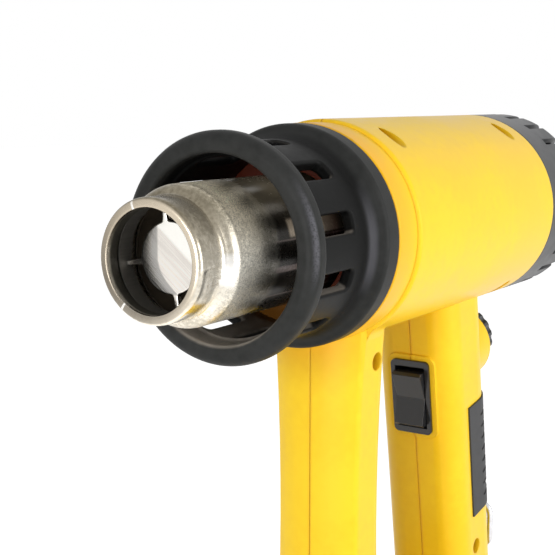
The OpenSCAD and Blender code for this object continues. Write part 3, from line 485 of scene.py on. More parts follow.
@dataclass(frozen=True)
class HeatTintedSteel:
    """The heater tube: a bright rim with painted light, a mottled heat-dulled band, a polished stretch."""

    name: str = "nozzle_steel"
    tip_light: Colour = (0.62, 0.58, 0.50)
    tip_dark: Colour = (0.36, 0.33, 0.27)
    tip_end: Span = (10.0, 17.0)
    band_light: Colour = (0.80, 0.77, 0.68)
    band_dark: Colour = (0.38, 0.357, 0.305)
    band: Places = (11.0, 15.0, 30.0, 34.8)
    waver: float = 0.7
    grit: Colour = (0.11, 0.105, 0.09)
    grit_contrast: Span = (0.40, 0.56)
    grit_share: float = 0.6
    # The polished stretch is painted dark, standing for its reflection of the shaded inside of the guard.
    painted_dark_polish: Colour = (0.040, 0.035, 0.029)
    # The rim's face with painted light: lit at the top left, shaded at the bottom right.
    rim_lit: Colour = (0.68, 0.59, 0.46)
    rim_shaded: Colour = (0.18, 0.152, 0.118)
    rim_end: Span = (0.05, 0.6)
    rim_share: float = 0.85
    rim_light_swing: float = 0.36
    rim_light_mean: float = 0.48
    scorched: Colour = (0.050, 0.046, 0.036)
    bore: Span = (16.75, 17.1)
    bore_start: Span = (0.6, 2.0)
    # A painted highlight on the swell's left side, with less roughness there.
    painted_highlight: Colour = (0.80, 0.78, 0.74)
    highlight_places: Places = (8.8, 10.4, 13.0, 15.0)
    highlight_turn: float = math.radians(97)
    highlight_reach: Span = (math.radians(10.2), math.radians(17))
    # Painted light on the top of the polished stretch, in place of its reflections.
    painted_top_light: Colour = (0.36, 0.325, 0.26)
    top_light_turn: Span = (0.75, 1.15)
    top_light_start: Span = (27.0, 32.0)
    top_light_share: float = 0.75
    # Painted reflections: pale streaks along the polished stretch.
    painted_streak: Colour = (0.46, 0.37, 0.34)
    painted_streak_core: float = 0.4
    painted_streak_degrees: tuple[Point, ...] = ((80.2, 1.1, 0.45), (103.5, 3.4, 0.9), (128.5, 1.2, 0.4))
    # Painted light that falls through the window on the left onto the tube.
    clear: Colour = (0.90, 0.76, 0.60)
    window_light_degrees: Places = (61.0, 65.0, 77.0, 79.5)
    window_light_start: Span = (39.0, 40.5)
    window_light_end: Places = (61.0, 70.0, 1.0, 0.25)
    window_light_gain: Places = (42.0, 60.0, 0.5, 1.0)
    rim_mark: Colour = (1.0, 0.98, 0.94)
    rim_mark_degrees: Span = (-19.0, -145.0)
    rim_mark_reach: Span = (0.0145, 0.029)
    rim_mark_share: float = 0.85
    straw: Colour = (1.0, 0.91, 0.72)
    straw_turn: Span = (0.6, 1.7)
    straw_share: float = 0.7
    # Painted light and shade round the tube: shade on the tip's top, light on the tube's top and at the
    # bottom.
    tip_top_shade: Places = (0.6, 1.62, 0.45, 1.0)
    tube_top_light: Places = (0.3, 1.7, 1.5, 1.15)
    tube_start: Span = (12.0, 19.0)
    tube_fade: Places = (22.0, 31.0, 1.0, 0.5)
    low_light: Places = (1.9, 2.6, 1.0, 1.6)
    roughness: Span = (0.30, 0.20)
    dulled_rough: float = 0.16
    highlight_rough: float = -0.12
    inside_rough: float = 0.3
    polished_metal: float = 0.4
    inside_metal: float = 0.5
    marked_metal: float = 0.2
    pits: Span = (0.05, 1.0)
    pit_depth: float = 0.00006

    def make(self, effects: Effects) -> bpy.types.Material:
        """Builds the material.

        Args:
            effects: The shared effects.

        Returns:
            The finished material.
        """
        sheet = MaterialSheet(self.name)
        behind, turn, radius = sheet.place(effects, "Behind", "Turn", "Radius")
        drift = sheet.effect(effects.drift, Light=self.band_light, Dark=self.band_dark, Scale=70.0,
                             Mottle_Scale=900.0, Mottle_Share=0.45)
        mask, away = drift["Mask"], sheet.maths("ABSOLUTE", turn)
        edge = sheet.plus(behind, sheet.between(mask, -self.waver, self.waver))
        dulled = sheet.hump(edge, self.band)
        polished = sheet.ramp(edge, *self.band[2:])
        rim = sheet.fall(behind, self.rim_end)
        inside = sheet.times(sheet.fall(radius, self.bore), sheet.ramp(behind, *self.bore_start))
        grit = sheet.fall(sheet.noise(sheet.coords, 3000.0, 1.0), self.grit_contrast, self.grit_share)
        # Painted light on the top of the polished stretch.
        painted_top_light = sheet.times(sheet.fall(away, self.top_light_turn, self.top_light_share),
                           sheet.ramp(edge, *self.top_light_start))
        painted_streaks = sheet.times(self._painted_streaks(sheet, turn), polished)
        # Painted light from the window on the left.
        clear = self._window_light_patch(sheet, behind, turn)
        # Painted highlight on the swell behind the tip.
        painted_highlight = sheet.times(sheet.fall(sheet.gap(turn, self.highlight_turn), self.highlight_reach),
                             sheet.hump(edge, self.highlight_places))
        tip = sheet.mix(mask, self.tip_dark, self.tip_light)
        colour = sheet.mix(sheet.ramp(edge, *self.tip_end), tip, drift["Colour"])
        colour = sheet.cover(colour, (sheet.times(grit, dulled), self.grit), (polished, self.painted_dark_polish),
                             (painted_top_light, self.painted_top_light), (painted_streaks, self.painted_streak), (clear, self.clear),
                             (painted_highlight, self.painted_highlight))
        # Painted light and shade round the tube, as a grey that scales the colour.
        colour = sheet.mix(1.0, colour, self._painted_light_round_axis(sheet, edge, away), "MULTIPLY")
        warm = sheet.fall(away, self.straw_turn, self.straw_share)
        colour = sheet.mix(warm, colour, self.straw, "MULTIPLY")
        # Painted light on the rim's face.
        colour = sheet.cover(colour, (sheet.times(rim, self.rim_share), self._rim_painted_light(sheet, turn)),
                             (inside, self.scorched), (self._rim_marks(sheet, turn, rim), self.rim_mark))
        rough = sheet.plus(sheet.between(mask, *self.roughness), sheet.times(dulled, self.dulled_rough),
                           sheet.times(painted_highlight, self.highlight_rough), sheet.times(inside, self.inside_rough))
        bare = sheet.times(sheet.between(polished, 1.0, self.polished_metal),
                           sheet.between(inside, 1.0, self.inside_metal),
                           sheet.between(sheet.most(painted_streaks, clear, painted_top_light), 1.0, self.marked_metal))
        sheet.set(Base_Color=colour, Roughness=rough, Metallic=bare, Specular_IOR_Level=0.2)
        pits = sheet.times(sheet.noise(sheet.coords, 2200.0, 2.0), sheet.between(dulled, *self.pits))
        sheet.bump(pits, self.pit_depth)
        return sheet.material

    def _painted_light_round_axis(self, sheet: MaterialSheet, edge: Any, away: Any) -> Any:
        """Works out the painted light and shade at each angle round the tube.

        Args:
            sheet: The material's sheet.
            edge: Millimetres behind the mouth, with a wavering edge.
            away: The turn away from the top.

        Returns:
            The socket of a grey.
        """
        # Painted shade on the tip's top, and painted light on the tube's top that fades further back.
        top = sheet.times(sheet.ramp(away, *self.tube_top_light), sheet.ramp(edge, *self.tube_fade))
        inputs = {0: sheet.ramp(edge, *self.tube_start), 2: sheet.ramp(away, *self.tip_top_shade), 3: top}
        tone = sheet.add("ShaderNodeMix", inputs, data_type="FLOAT").outputs[0]
        # Painted light at the bottom.
        tone = sheet.times(tone, sheet.ramp(away, *self.low_light))
        return sheet.add("ShaderNodeCombineColor", {0: tone, 1: tone, 2: tone}).outputs[0]

    def _rim_painted_light(self, sheet: MaterialSheet, turn: Any) -> Any:
        """Paints light on the rim's face: paler at the top left and darker at the bottom right."""
        height = sheet.times(sheet.maths("COSINE", turn), self.rim_light_swing)
        side = sheet.times(sheet.maths("SINE", turn), self.rim_light_swing)
        painted_light = sheet.maths("ADD", sheet.plus(height, side), self.rim_light_mean, clamp=True)
        return sheet.mix(painted_light, self.rim_shaded, self.rim_lit)

    def _painted_streaks(self, sheet: MaterialSheet, turn: Any) -> Any:
        """Masks the painted reflections: pale streaks each given by its turn, its reach and its share."""
        total: Any = 0.0
        for angle, reach, share in self.painted_streak_degrees:
            span = (math.radians(reach * self.painted_streak_core), math.radians(reach))
            total = sheet.most(total, sheet.fall(sheet.gap(turn, math.radians(angle)), span, share))
        return total

    def _window_light_patch(self, sheet: MaterialSheet, behind: Any, turn: Any) -> Any:
        """Masks the painted light that falls through the window on the left onto the tube."""
        across = sheet.hump(turn, tuple(math.radians(angle) for angle in self.window_light_degrees))
        along = [sheet.ramp(behind, *step) for step in (self.window_light_start, self.window_light_end, self.window_light_gain)]
        return sheet.times(across, *along)

    def _rim_marks(self, sheet: MaterialSheet, turn: Any, rim: Any) -> Any:
        """Masks the two bright marks that cross the rim."""
        marks = [sheet.fall(sheet.gap(turn, math.radians(angle)), self.rim_mark_reach)
                 for angle in self.rim_mark_degrees]
        return sheet.times(sheet.plus(*marks), rim, self.rim_mark_share)


@dataclass(frozen=True)
class BrushedPlate:
    """A stamped plate with straight brush lines, painted shade on the right, painted light at the top left.
    """

    name: str = "baffle_steel"
    light: Colour = (0.82, 0.78, 0.72)
    dark: Colour = (0.68, 0.64, 0.59)
    brush_turn: float = math.radians(-38)
    # Painted reflection of the mouth's dark inner wall, on the right of the disc.
    wall_reflection: Colour = (0.26, 0.257, 0.252)
    wall_reflection_bend: float = -0.07
    wall_reflection_edge: Span = (-4.7, -3.9)
    wall_reflection_share: float = 0.72
    deep_reflection_edge: Span = (-10.0, -5.0)
    deep_reflection_share: float = 0.25
    disc_edge: Span = (9.8, 10.8)
    # Painted light at the top left of the disc.
    painted_light: Colour = (0.98, 0.97, 0.91)
    painted_light_aim: Span = (0.62, 0.78)
    painted_light_places: Places = (3.4, 4.6, 0.0, 0.8)
    scorched: Colour = (0.05, 0.047, 0.038)
    scorched_radius: Span = (13.8, 16.2)
    scorched_rough: float = 0.35
    scorched_metal: float = 0.5
    roughness: Span = (0.22, 0.15)
    line_depth: float = 0.000012

    def make(self, effects: Effects) -> bpy.types.Material:
        """Builds the material.

        Args:
            effects: The shared effects.

        Returns:
            The finished material.
        """
        sheet = MaterialSheet(self.name)
        radius, side, height = sheet.place(effects, "Radius", "Side", "Height")
        _, across, up = sheet.parts(sheet.coords)
        inputs = {"Vector": sheet.joined(across, up), "Rotation": (0, 0, -self.brush_turn)}
        turned = sheet.add("ShaderNodeMapping", inputs).outputs[0]
        lines = sheet.effect(effects.brush, Vector=turned, Fineness=2600.0, Length=40.0)["Mask"]
        low = sheet.maths("MINIMUM", height, 0.0)
        slant = sheet.plus(side, sheet.times(low, low, self.wall_reflection_bend))
        # Painted reflection of the dark inner wall on the disc's right side.
        wall_reflection = sheet.times(sheet.plus(sheet.fall(slant, self.wall_reflection_edge, self.wall_reflection_share),
                                      sheet.fall(slant, self.deep_reflection_edge, self.deep_reflection_share)),
                           sheet.fall(radius, self.disc_edge))
        # Painted light towards the top left.
        corner = sheet.plus(sheet.times(side, self.painted_light_aim[0]), sheet.times(height, self.painted_light_aim[1]))
        outer = sheet.ramp(radius, *self.scorched_radius)
        colour = sheet.cover(sheet.mix(lines, self.dark, self.light), (wall_reflection, self.wall_reflection),
                             (sheet.ramp(corner, *self.painted_light_places), self.painted_light), (outer, self.scorched))
        rough = sheet.plus(sheet.between(lines, *self.roughness), sheet.times(outer, self.scorched_rough))
        sheet.set(Base_Color=colour, Roughness=rough,
                  Metallic=sheet.between(outer, 1.0, self.scorched_metal))
        sheet.bump(lines, self.line_depth)
        return sheet.material


def smooth(value: float, low: float, high: float) -> float:
    """A smooth step from 0 at low to 1 at high."""
    share = min(max((value - low) / (high - low), 0.0), 1.0)
    return share * share * (3 - 2 * share)


def hump(value: float, places: Places) -> float:
    """A hump that rises between the first two places and falls between the last two."""
    return smooth(value, *places[:2]) * (1 - smooth(value, *places[2:]))


def arc(centre: RoundPoint, radius: float, start: float, end: float, steps: int) -> list[RoundPoint]:
    """Points of an arc in a profile of (distance from the axis, place along it).

    Args:
        centre: The arc's centre.
        radius: Its radius.
        start: The first angle in degrees, from the outward direction towards +X.
        end: The last angle in degrees.
        steps: The number of stretches.

    Returns:
        The points from first to last.
    """
    angles = [math.radians(start + (end - start) * i / steps) for i in range(steps + 1)]
    return [(centre[0] + radius * math.cos(a), centre[1] + radius * math.sin(a)) for a in angles]


def line(start: RoundPoint, end: RoundPoint, steps: int, first: int = 1, last: int = 0) -> list[RoundPoint]:
    """Points at even steps of a straight line.

    Args:
        start: Where the line starts.
        end: Where it ends.
        steps: The number of stretches.
        first: How many points to leave out at the start.
        last: How many points to leave out at the end.

    Returns:
        The points in order.
    """
    counted = range(first, steps + 1 - last)
    return [tuple(a + (b - a) * k / steps for a, b in zip(start, end)) for k in counted]


def spread(half: float, steps: int) -> list[float]:
    """Angles at even steps from -half to half."""
    return [-half + 2 * half * i / steps for i in range(steps + 1)]


def rounding(radius: float, steps: int) -> list[RoundPoint]:
    """A rounded edge, as (how far in, how far down), from its upper end to its outer end."""
    angles = [math.radians(90 * i / steps) for i in range(steps + 1)]
    return [(radius * (1 - math.sin(a)), radius * (1 - math.cos(a))) for a in angles]


def turned_rows(profile: Sequence[RoundPoint], angles: Iterable[float]) -> list[list[Point]]:
    """Turns a profile about the barrel's axis, which runs through y = z = 0 here.

    Args:
        profile: Points of (distance from the axis, place along it).
        angles: Angles from the top towards the left side.

    Returns:
        One row of points for each angle.
    """
    return [[(x, r * math.sin(a), r * math.cos(a)) for r, x in profile] for a in angles]


def new_object(name: str, data: bpy.types.ID) -> bpy.types.Object:
    """Makes an object and links it to the scene."""
    made = bpy.data.objects.new(name, data)
    bpy.context.scene.collection.objects.link(made)
    return made


def new_piece(name: str, mesh: bpy.types.Mesh) -> bpy.types.Object:
    """Merges a mesh's doubles, turns its faces outwards, shades it smooth and makes its object."""
    work = bmesh.new()
    work.from_mesh(mesh)
    bmesh.ops.remove_doubles(work, verts=work.verts, dist=WELD)
    bmesh.ops.recalc_face_normals(work, faces=work.faces)
    work.to_mesh(mesh)
    work.free()
    mesh.polygons.foreach_set("use_smooth", [True] * len(mesh.polygons))
    mesh.update()
    return new_object(name, mesh)


def even_normals(piece: bpy.types.Object) -> None:
    """Weights a piece's normals by face area, so that flat faces stay flat beside small roundings."""
    piece.modifiers.new("even_normals", "WEIGHTED_NORMAL").weight = 100


class MeshDraft:
    """Vertices and faces of a piece that is still being made."""

    def __init__(self) -> None:
        """Starts with nothing."""
        self.points: list[Point] = []
        self.faces: list[tuple[int, ...]] = []

    def grid(self, rows: Sequence[Sequence[Point]], wrap_rows: bool = False,
             wrap_points: bool = False) -> None:
        """Adds a grid of four-sided faces.

        Args:
            rows: Rows of points, each of the same length.
            wrap_rows: Whether the last row joins the first.
            wrap_points: Whether each row's last point joins its first.
        """
        base, width = len(self.points), len(rows[0])
        for row in rows:
            self.points.extend(row)
        for i in range(len(rows) - (not wrap_rows)):
            a, b = base + i * width, base + (i + 1) % len(rows) * width
            for j in range(width - (not wrap_points)):
                k = (j + 1) % width
                self.faces.append((a + j, a + k, b + k, b + j))

    def finish(self, name: str) -> bpy.types.Object:
        """Makes the object."""
        mesh = bpy.data.meshes.new(name)
        mesh.from_pydata(self.points, [], self.faces)
        return new_piece(name, mesh)


class Repeater:
    """A geometry tree that copies a sector round the barrel's axis and joins the copies."""

    def __init__(self) -> None:
        """Builds the tree with its named inputs."""
        self.tree = bpy.data.node_groups.new("repeat_round_axis", "GeometryNodeTree")
        face = self.tree.interface
        for name, kind in (("Geometry", "Geometry"), ("Count", "Int"), ("First Turn", "Float"),
                           ("Lift", "Vector"), ("Weld", "Float"), ("Material", "Material")):
            face.new_socket(name, in_out="INPUT", socket_type="NodeSocket" + kind)
        face.new_socket("Geometry", in_out="OUTPUT", socket_type="NodeSocketGeometry")
        sheet = Sheet(self.tree)
        source = sheet.add("NodeGroupInput").outputs
        points = sheet.add("GeometryNodeMeshLine", {"Count": source["Count"], "Offset": (0, 0, 0)})
        index = sheet.add("GeometryNodeInputIndex").outputs[0]
        step = sheet.maths("DIVIDE", 2 * math.pi, source["Count"])
        turn = sheet.maths("MULTIPLY_ADD", index, step, source["First Turn"])
        spin = sheet.add("ShaderNodeCombineXYZ", {"X": sheet.times(turn, -1.0)})
        inputs = {"Points": points.outputs[0], "Instance": source["Geometry"], "Rotation": spin.outputs[0]}
        made = sheet.add("GeometryNodeInstanceOnPoints", inputs)
        for kind, inputs in (("GeometryNodeRealizeInstances", {}),
                             ("GeometryNodeMergeByDistance", {"Distance": source["Weld"]}),
                             ("GeometryNodeTransform", {"Translation": source["Lift"]}),
                             ("GeometryNodeSetMaterial", {"Material": source["Material"]})):
            made = sheet.add(kind, {"Geometry": made.outputs[0], **inputs})
        sheet.add("NodeGroupOutput", {0: made.outputs[0]})

    def run(self, sector: bpy.types.Object, name: str, count: int, first_turn: float,
            material: bpy.types.Material) -> bpy.types.Object:
        """Makes the whole piece from one sector.

        Args:
            sector: The sector, which is used up.
            name: The piece's name.
            count: How many sectors go round.
            first_turn: The first sector's angle from the top towards the left side.
            material: The piece's finish.

        Returns:
            The piece as a plain mesh.
        """
        values = {"Count": count, "First Turn": first_turn, "Lift": (0.0, 0.0, AXIS_Z), "Weld": WELD,
                  "Material": material}
        modifier = sector.modifiers.new("pattern", "NODES")
        modifier.node_group = self.tree
        for socket in self.tree.interface.items_tree:
            if socket.name in values:
                modifier[socket.identifier] = values[socket.name]
        graph = bpy.context.evaluated_depsgraph_get()
        mesh = bpy.data.meshes.new_from_object(sector.evaluated_get(graph))
        sector.modifiers.remove(modifier)
        bpy.data.objects.remove(sector)
        mesh.name = name
        return new_piece(name, mesh)


@dataclass
class Guard:
    """The slotted guard: a thick front ring, a waist with windows and a flared collar."""

    windows: int = 11
    first_window: float = math.radians(75.4)
    ring_bore: float = 28.0 * MM
    bore: float = 27.0 * MM
    waist: float = 31.2 * MM
    ring_width: float = 7.8 * MM
    ring: float = 34.6 * MM
    ring_front_round: float = 3.6 * MM
    ring_back_round: float = 2.8 * MM
    bore_round: float = 1.5 * MM
    step: float = 1.0 * MM
    fillet: float = 0.9 * MM
    flare_hollow: float = 6.0 * MM
    flare_round: float = 2.2 * MM
    collar: float = 35.8 * MM
    collar_width: float = 6.0 * MM
    back_round: float = 0.6 * MM
    seat: float = 31.15 * MM
    seat_depth: float = 8.1 * MM
    window_width: float = 6.2 * MM
    window_round: float = 1.6 * MM
    window_gap: float = 1.8 * MM
    flare_gap: float = 5.5 * MM
    edge: float = 1.3 * MM
    end_steps: int = 4
    side_steps: int = 8
    corner_steps: int = 8
    edge_steps: int = 5
    waist_shares: Places = (0.0, 0.35, 0.7, 1.0)
    # Which inner faces count as looking up, for the paler tan-grey.
    upward_depths: Span = (1.2 * MM, 0.2 * MM)
    upward_lift: Span = (0.35, 0.85)

    def __post_init__(self) -> None:
        """Works out the places along the barrel."""
        low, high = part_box("guard")
        self.front, self.back = high.x, low.x
        self.ring_back = self.front - self.ring_width
        reach = self.flare_hollow + self.flare_round
        rise = self.waist + self.flare_hollow - self.collar + self.flare_round
        self.flare_back = self.back + self.collar_width
        self.flare_front = self.flare_back + math.sqrt(reach ** 2 - rise ** 2)
        self.flare_angle = math.degrees(math.acos(rise / reach))

    def front_profile(self) -> list[RoundPoint]:
        """The profile from the bore round the front ring to the waist."""
        q, r, b, f = self.bore_round, self.ring_front_round, self.ring_back_round, self.fillet
        inner = self.ring_back + self.step
        points = [(self.bore, self.ring_back), (self.bore, inner), (self.ring_bore, inner)]
        points += arc((self.ring_bore + q, self.front - q), q, 180, 90, steps=6)
        points += arc((self.ring - r, self.front - r), r, 90, 0, steps=12)
        points += arc((self.ring - b, self.ring_back + b), b, 0, -90, steps=10)[:-1]
        return points + arc((self.waist + f, self.ring_back - f), f, 90, 180, steps=5)

    def back_profile(self) -> list[RoundPoint]:
        """The profile from the waist over the flare and the collar into the bore."""
        hollow, bulge, b = self.flare_hollow, self.flare_round, self.back_round
        inner = self.back + self.seat_depth
        points = arc((self.waist + hollow, self.flare_front), hollow, 180, 180 + self.flare_angle, steps=10)
        points += arc((self.collar - bulge, self.flare_back), bulge, self.flare_angle, 0, steps=8)[1:]
        points += arc((self.collar - b, self.back + b), b, 0, -90, steps=4)
        points += [(self.seat, self.back), (self.seat, inner), (self.bore, inner)]
        return points + [(self.bore, self.flare_front)]

    def outline(self, offset: float) -> list[RoundPoint]:
        """A window's outline, as (place along the barrel, distance across).

        Args:
            offset: How far outside the window the line runs.

        Returns:
            The points, from the middle of the front left corner round.
        """
        r = self.window_round
        front = self.ring_back - self.window_gap - r
        rear = self.flare_front + self.flare_gap + r
        side = self.window_width / 2 - r
        centres = [(front, -side), (front, side), (rear, side), (rear, -side)]
        corners = [arc(centre, r + offset, 90 * i - 90, 90 * i, self.corner_steps)
                   for i, centre in enumerate(centres)]
        points = []
        for i, corner in enumerate(corners):
            steps = self.side_steps if i % 2 else self.end_steps
            points += corner + line(corner[-1], corners[(i + 1) % 4][0], steps, last=1)
        middle = self.corner_steps // 2
        return points[middle:] + points[:middle]

    def border(self, sector: float, front: float) -> list[RoundPoint]:
        """The edge of one sector of the waist, as (place along the barrel, angle).

        Args:
            sector: Half the sector's angle.
            front: The front end.

        Returns:
            As many points as the window's outline has, starting at the same corner.
        """
        rear = self.flare_front
        corners = [(front, -sector), (front, sector), (rear, sector), (rear, -sector)]
        points = []
        for i, corner in enumerate(corners):
            steps = self.corner_steps + (self.side_steps if i % 2 else self.end_steps)
            points += line(corner, corners[(i + 1) % 4], steps, first=0, last=1)
        return points

    def waist_rows(self, sector: float) -> list[list[Point]]:
        """The waist's surface round one window, from its outer edge through the window to its inner edge.

        Args:
            sector: Half the sector's angle.

        Returns:
            Closed rows of points round the window.
        """
        skins = ((self.waist, self.ring_back - self.fillet, 1.0), (self.bore, self.ring_back, -1.0))
        halves = []
        for radius, front, side in skins:
            rows = []
            for share in self.waist_shares:
                row = []
                for (x0, turn0), (x1, across) in zip(self.border(sector, front), self.outline(self.edge)):
                    turn = turn0 + (math.asin(across / radius) - turn0) * share
                    row.append((x0 + (x1 - x0) * share, radius * math.sin(turn), radius * math.cos(turn)))
                rows.append(row)
            for inset, drop in rounding(self.edge, self.edge_steps)[1:]:
                rows.append([(x, y, math.sqrt(radius ** 2 - y ** 2) - drop * side)
                             for x, y in self.outline(inset)])
            halves.append(rows)
        return halves[0] + halves[1][::-1]

    def mark_upward_faces(self, piece: bpy.types.Object) -> None:
        """Marks the upward faces inside the finished guard, which the guard's finish makes paler."""
        deep, shallow = (self.waist - depth for depth in self.upward_depths)
        mark = piece.data.attributes.new(UPWARD_FACES, "FLOAT", "POINT")
        for vertex in piece.data.vertices:
            inner = 1 - smooth(math.hypot(vertex.co.y, vertex.co.z - AXIS_Z), deep, shallow)
            mark.data[vertex.index].value = inner * smooth(vertex.normal.z, *self.upward_lift)

    def build(self, repeater: Repeater, material: bpy.types.Material) -> bpy.types.Object:
        """Makes the guard.

        Args:
            repeater: The tree that copies a sector.
            material: The guard's finish.

        Returns:
            The finished piece.
        """
        sector = math.pi / self.windows
        angles = spread(sector, self.end_steps + self.corner_steps)
        draft = MeshDraft()
        draft.grid(turned_rows(self.front_profile(), angles))
        draft.grid(turned_rows(self.back_profile(), angles))
        draft.grid(self.waist_rows(sector), wrap_points=True)
        piece = repeater.run(draft.finish("guard_sector"), "guard_shell", self.windows, self.first_window,
                             material)
        even_normals(piece)
        self.mark_upward_faces(piece)
        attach(piece, "tool_body")
        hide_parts("guard")
        return piece


@dataclass
class HeaterTube:
    """The steel nozzle: a thick rim, a stepped tip, the wide tube and the flange inside the housing.

    The dents are given in millimetres behind the mouth, degrees from the top and millimetres of depth.
    """

    tip: float = 17.5 * MM
    tip_length: float = 9.8 * MM
    mouth: float = 14.65 * MM
    rim_depth: float = 4.5 * MM
    tube: float = 20.3 * MM
    wall: float = 0.9 * MM
    shoulder: float = 1.0 * MM
    rim_round: float = 1.5 * MM
    mouth_round: float = 0.5 * MM
    swell_hollow: float = 1.6 * MM
    swell_round: float = 4.0 * MM
    flange_thickness: float = 1.2 * MM
    steps: int = 420
    lap_degrees: float = 95.0
    lap_width: float = 1.6
    lap_depth: float = 0.22
    lap_places: Places = (2.2, 3.0, 9.2, 10.4)
    flat_degrees: Places = (95.0, 97.0, 118.0, 130.0)
    flat_depth: float = 0.16
    flat_places: Places = (1.4, 3.2, 8.6, 10.6)
    sways: tuple[Places, ...] = ((0.05, 3, 0.6, 0.0), (0.03, 5, -1.1, 1 / 9))
    sway_places: Places = (0.5, 3.0, 20.0, 40.0)

    def profile(self) -> list[RoundPoint]:
        """The closed profile of the tube's wall.

        Returns:
            The points from the mouth over the outside to the back and through the inside to the mouth.
        """
        low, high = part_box("nozzle")
        front, back = high.x, low.x
        flange = (high.z - low.z) / 2
        reach = self.swell_hollow + self.swell_round
        rise = self.tip + self.swell_hollow - self.tube + self.swell_round
        tip_back = front - self.tip_length
        swell_back = tip_back - math.sqrt(reach ** 2 - rise ** 2)
        tube_back = back + self.flange_thickness
        angle = math.degrees(math.acos(rise / reach))
        r, m = self.rim_round, self.mouth_round
        swell = (self.tube - self.swell_round, swell_back)
        tube_bore, tip_bore = self.tube - self.wall, self.tip - self.wall
        points = arc((self.mouth + m, front - m), m, 180, 90, steps=4)
        points += arc((self.tip - r, front - r), r, 90, 0, steps=8)
        points += line((self.tip, front), (self.tip, tip_back), 12, first=2, last=1)
        points += arc((self.tip + self.swell_hollow, tip_back), self.swell_hollow, 180, 180 + angle, steps=8)
        points += arc(swell, self.swell_round, angle, 0, steps=12)[1:]
        points += line((self.tube, swell_back), (self.tube, tube_back), 16)
        points += [(flange, tube_back), (flange, back), (tube_bore, back)]
        points += line((tube_bore, back), (tube_bore, swell_back), 8)
        points += arc(swell, self.swell_round - self.wall, 0, angle, steps=8)[1:]
        points += [(tip_bore, tip_back - self.shoulder), (tip_bore, front - self.rim_depth)]
        return points + [(self.mouth, front - self.rim_depth)]

    def worked(self, x: float, radius: float, turn: float) -> float:
        """The wall's distance from the axis after the dents of use.

        Args:
            x: The place along the barrel.
            radius: The distance from the axis before.
            turn: The angle from the top towards the left side.

        Returns:
            The distance after.
        """
        behind, degrees = (MOUTH_X - x) / MM, math.degrees(turn)
        lap = math.exp(-(((degrees - self.lap_degrees) / self.lap_width) ** 2)) * self.lap_depth
        dent = lap * hump(behind, self.lap_places)
        dent += hump(degrees, self.flat_degrees) * self.flat_depth * hump(behind, self.flat_places)
        sway = sum(size * math.sin(waves * turn + shift + twist * behind)
                   for size, waves, shift, twist in self.sways)
        return radius + (sway * hump(behind, self.sway_places) - dent) * MM

    def build(self, material: bpy.types.Material) -> bpy.types.Object:
        """Makes the nozzle.

        Args:
            material: The nozzle's finish.

        Returns:
            The finished piece.
        """
        profile = self.profile()
        rows = []
        for turn in spread(math.pi, self.steps)[:-1]:
            worn = [(x, self.worked(x, radius, turn)) for radius, x in profile]
            rows.append([(x, r * math.sin(turn), AXIS_Z + r * math.cos(turn)) for x, r in worn])
        draft = MeshDraft()
        draft.grid(rows, wrap_rows=True, wrap_points=True)
        piece = draft.finish("nozzle_tube")
        piece.data.materials.append(material)
        even_normals(piece)
        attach(piece, "tool_body")
        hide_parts("nozzle")
        return piece


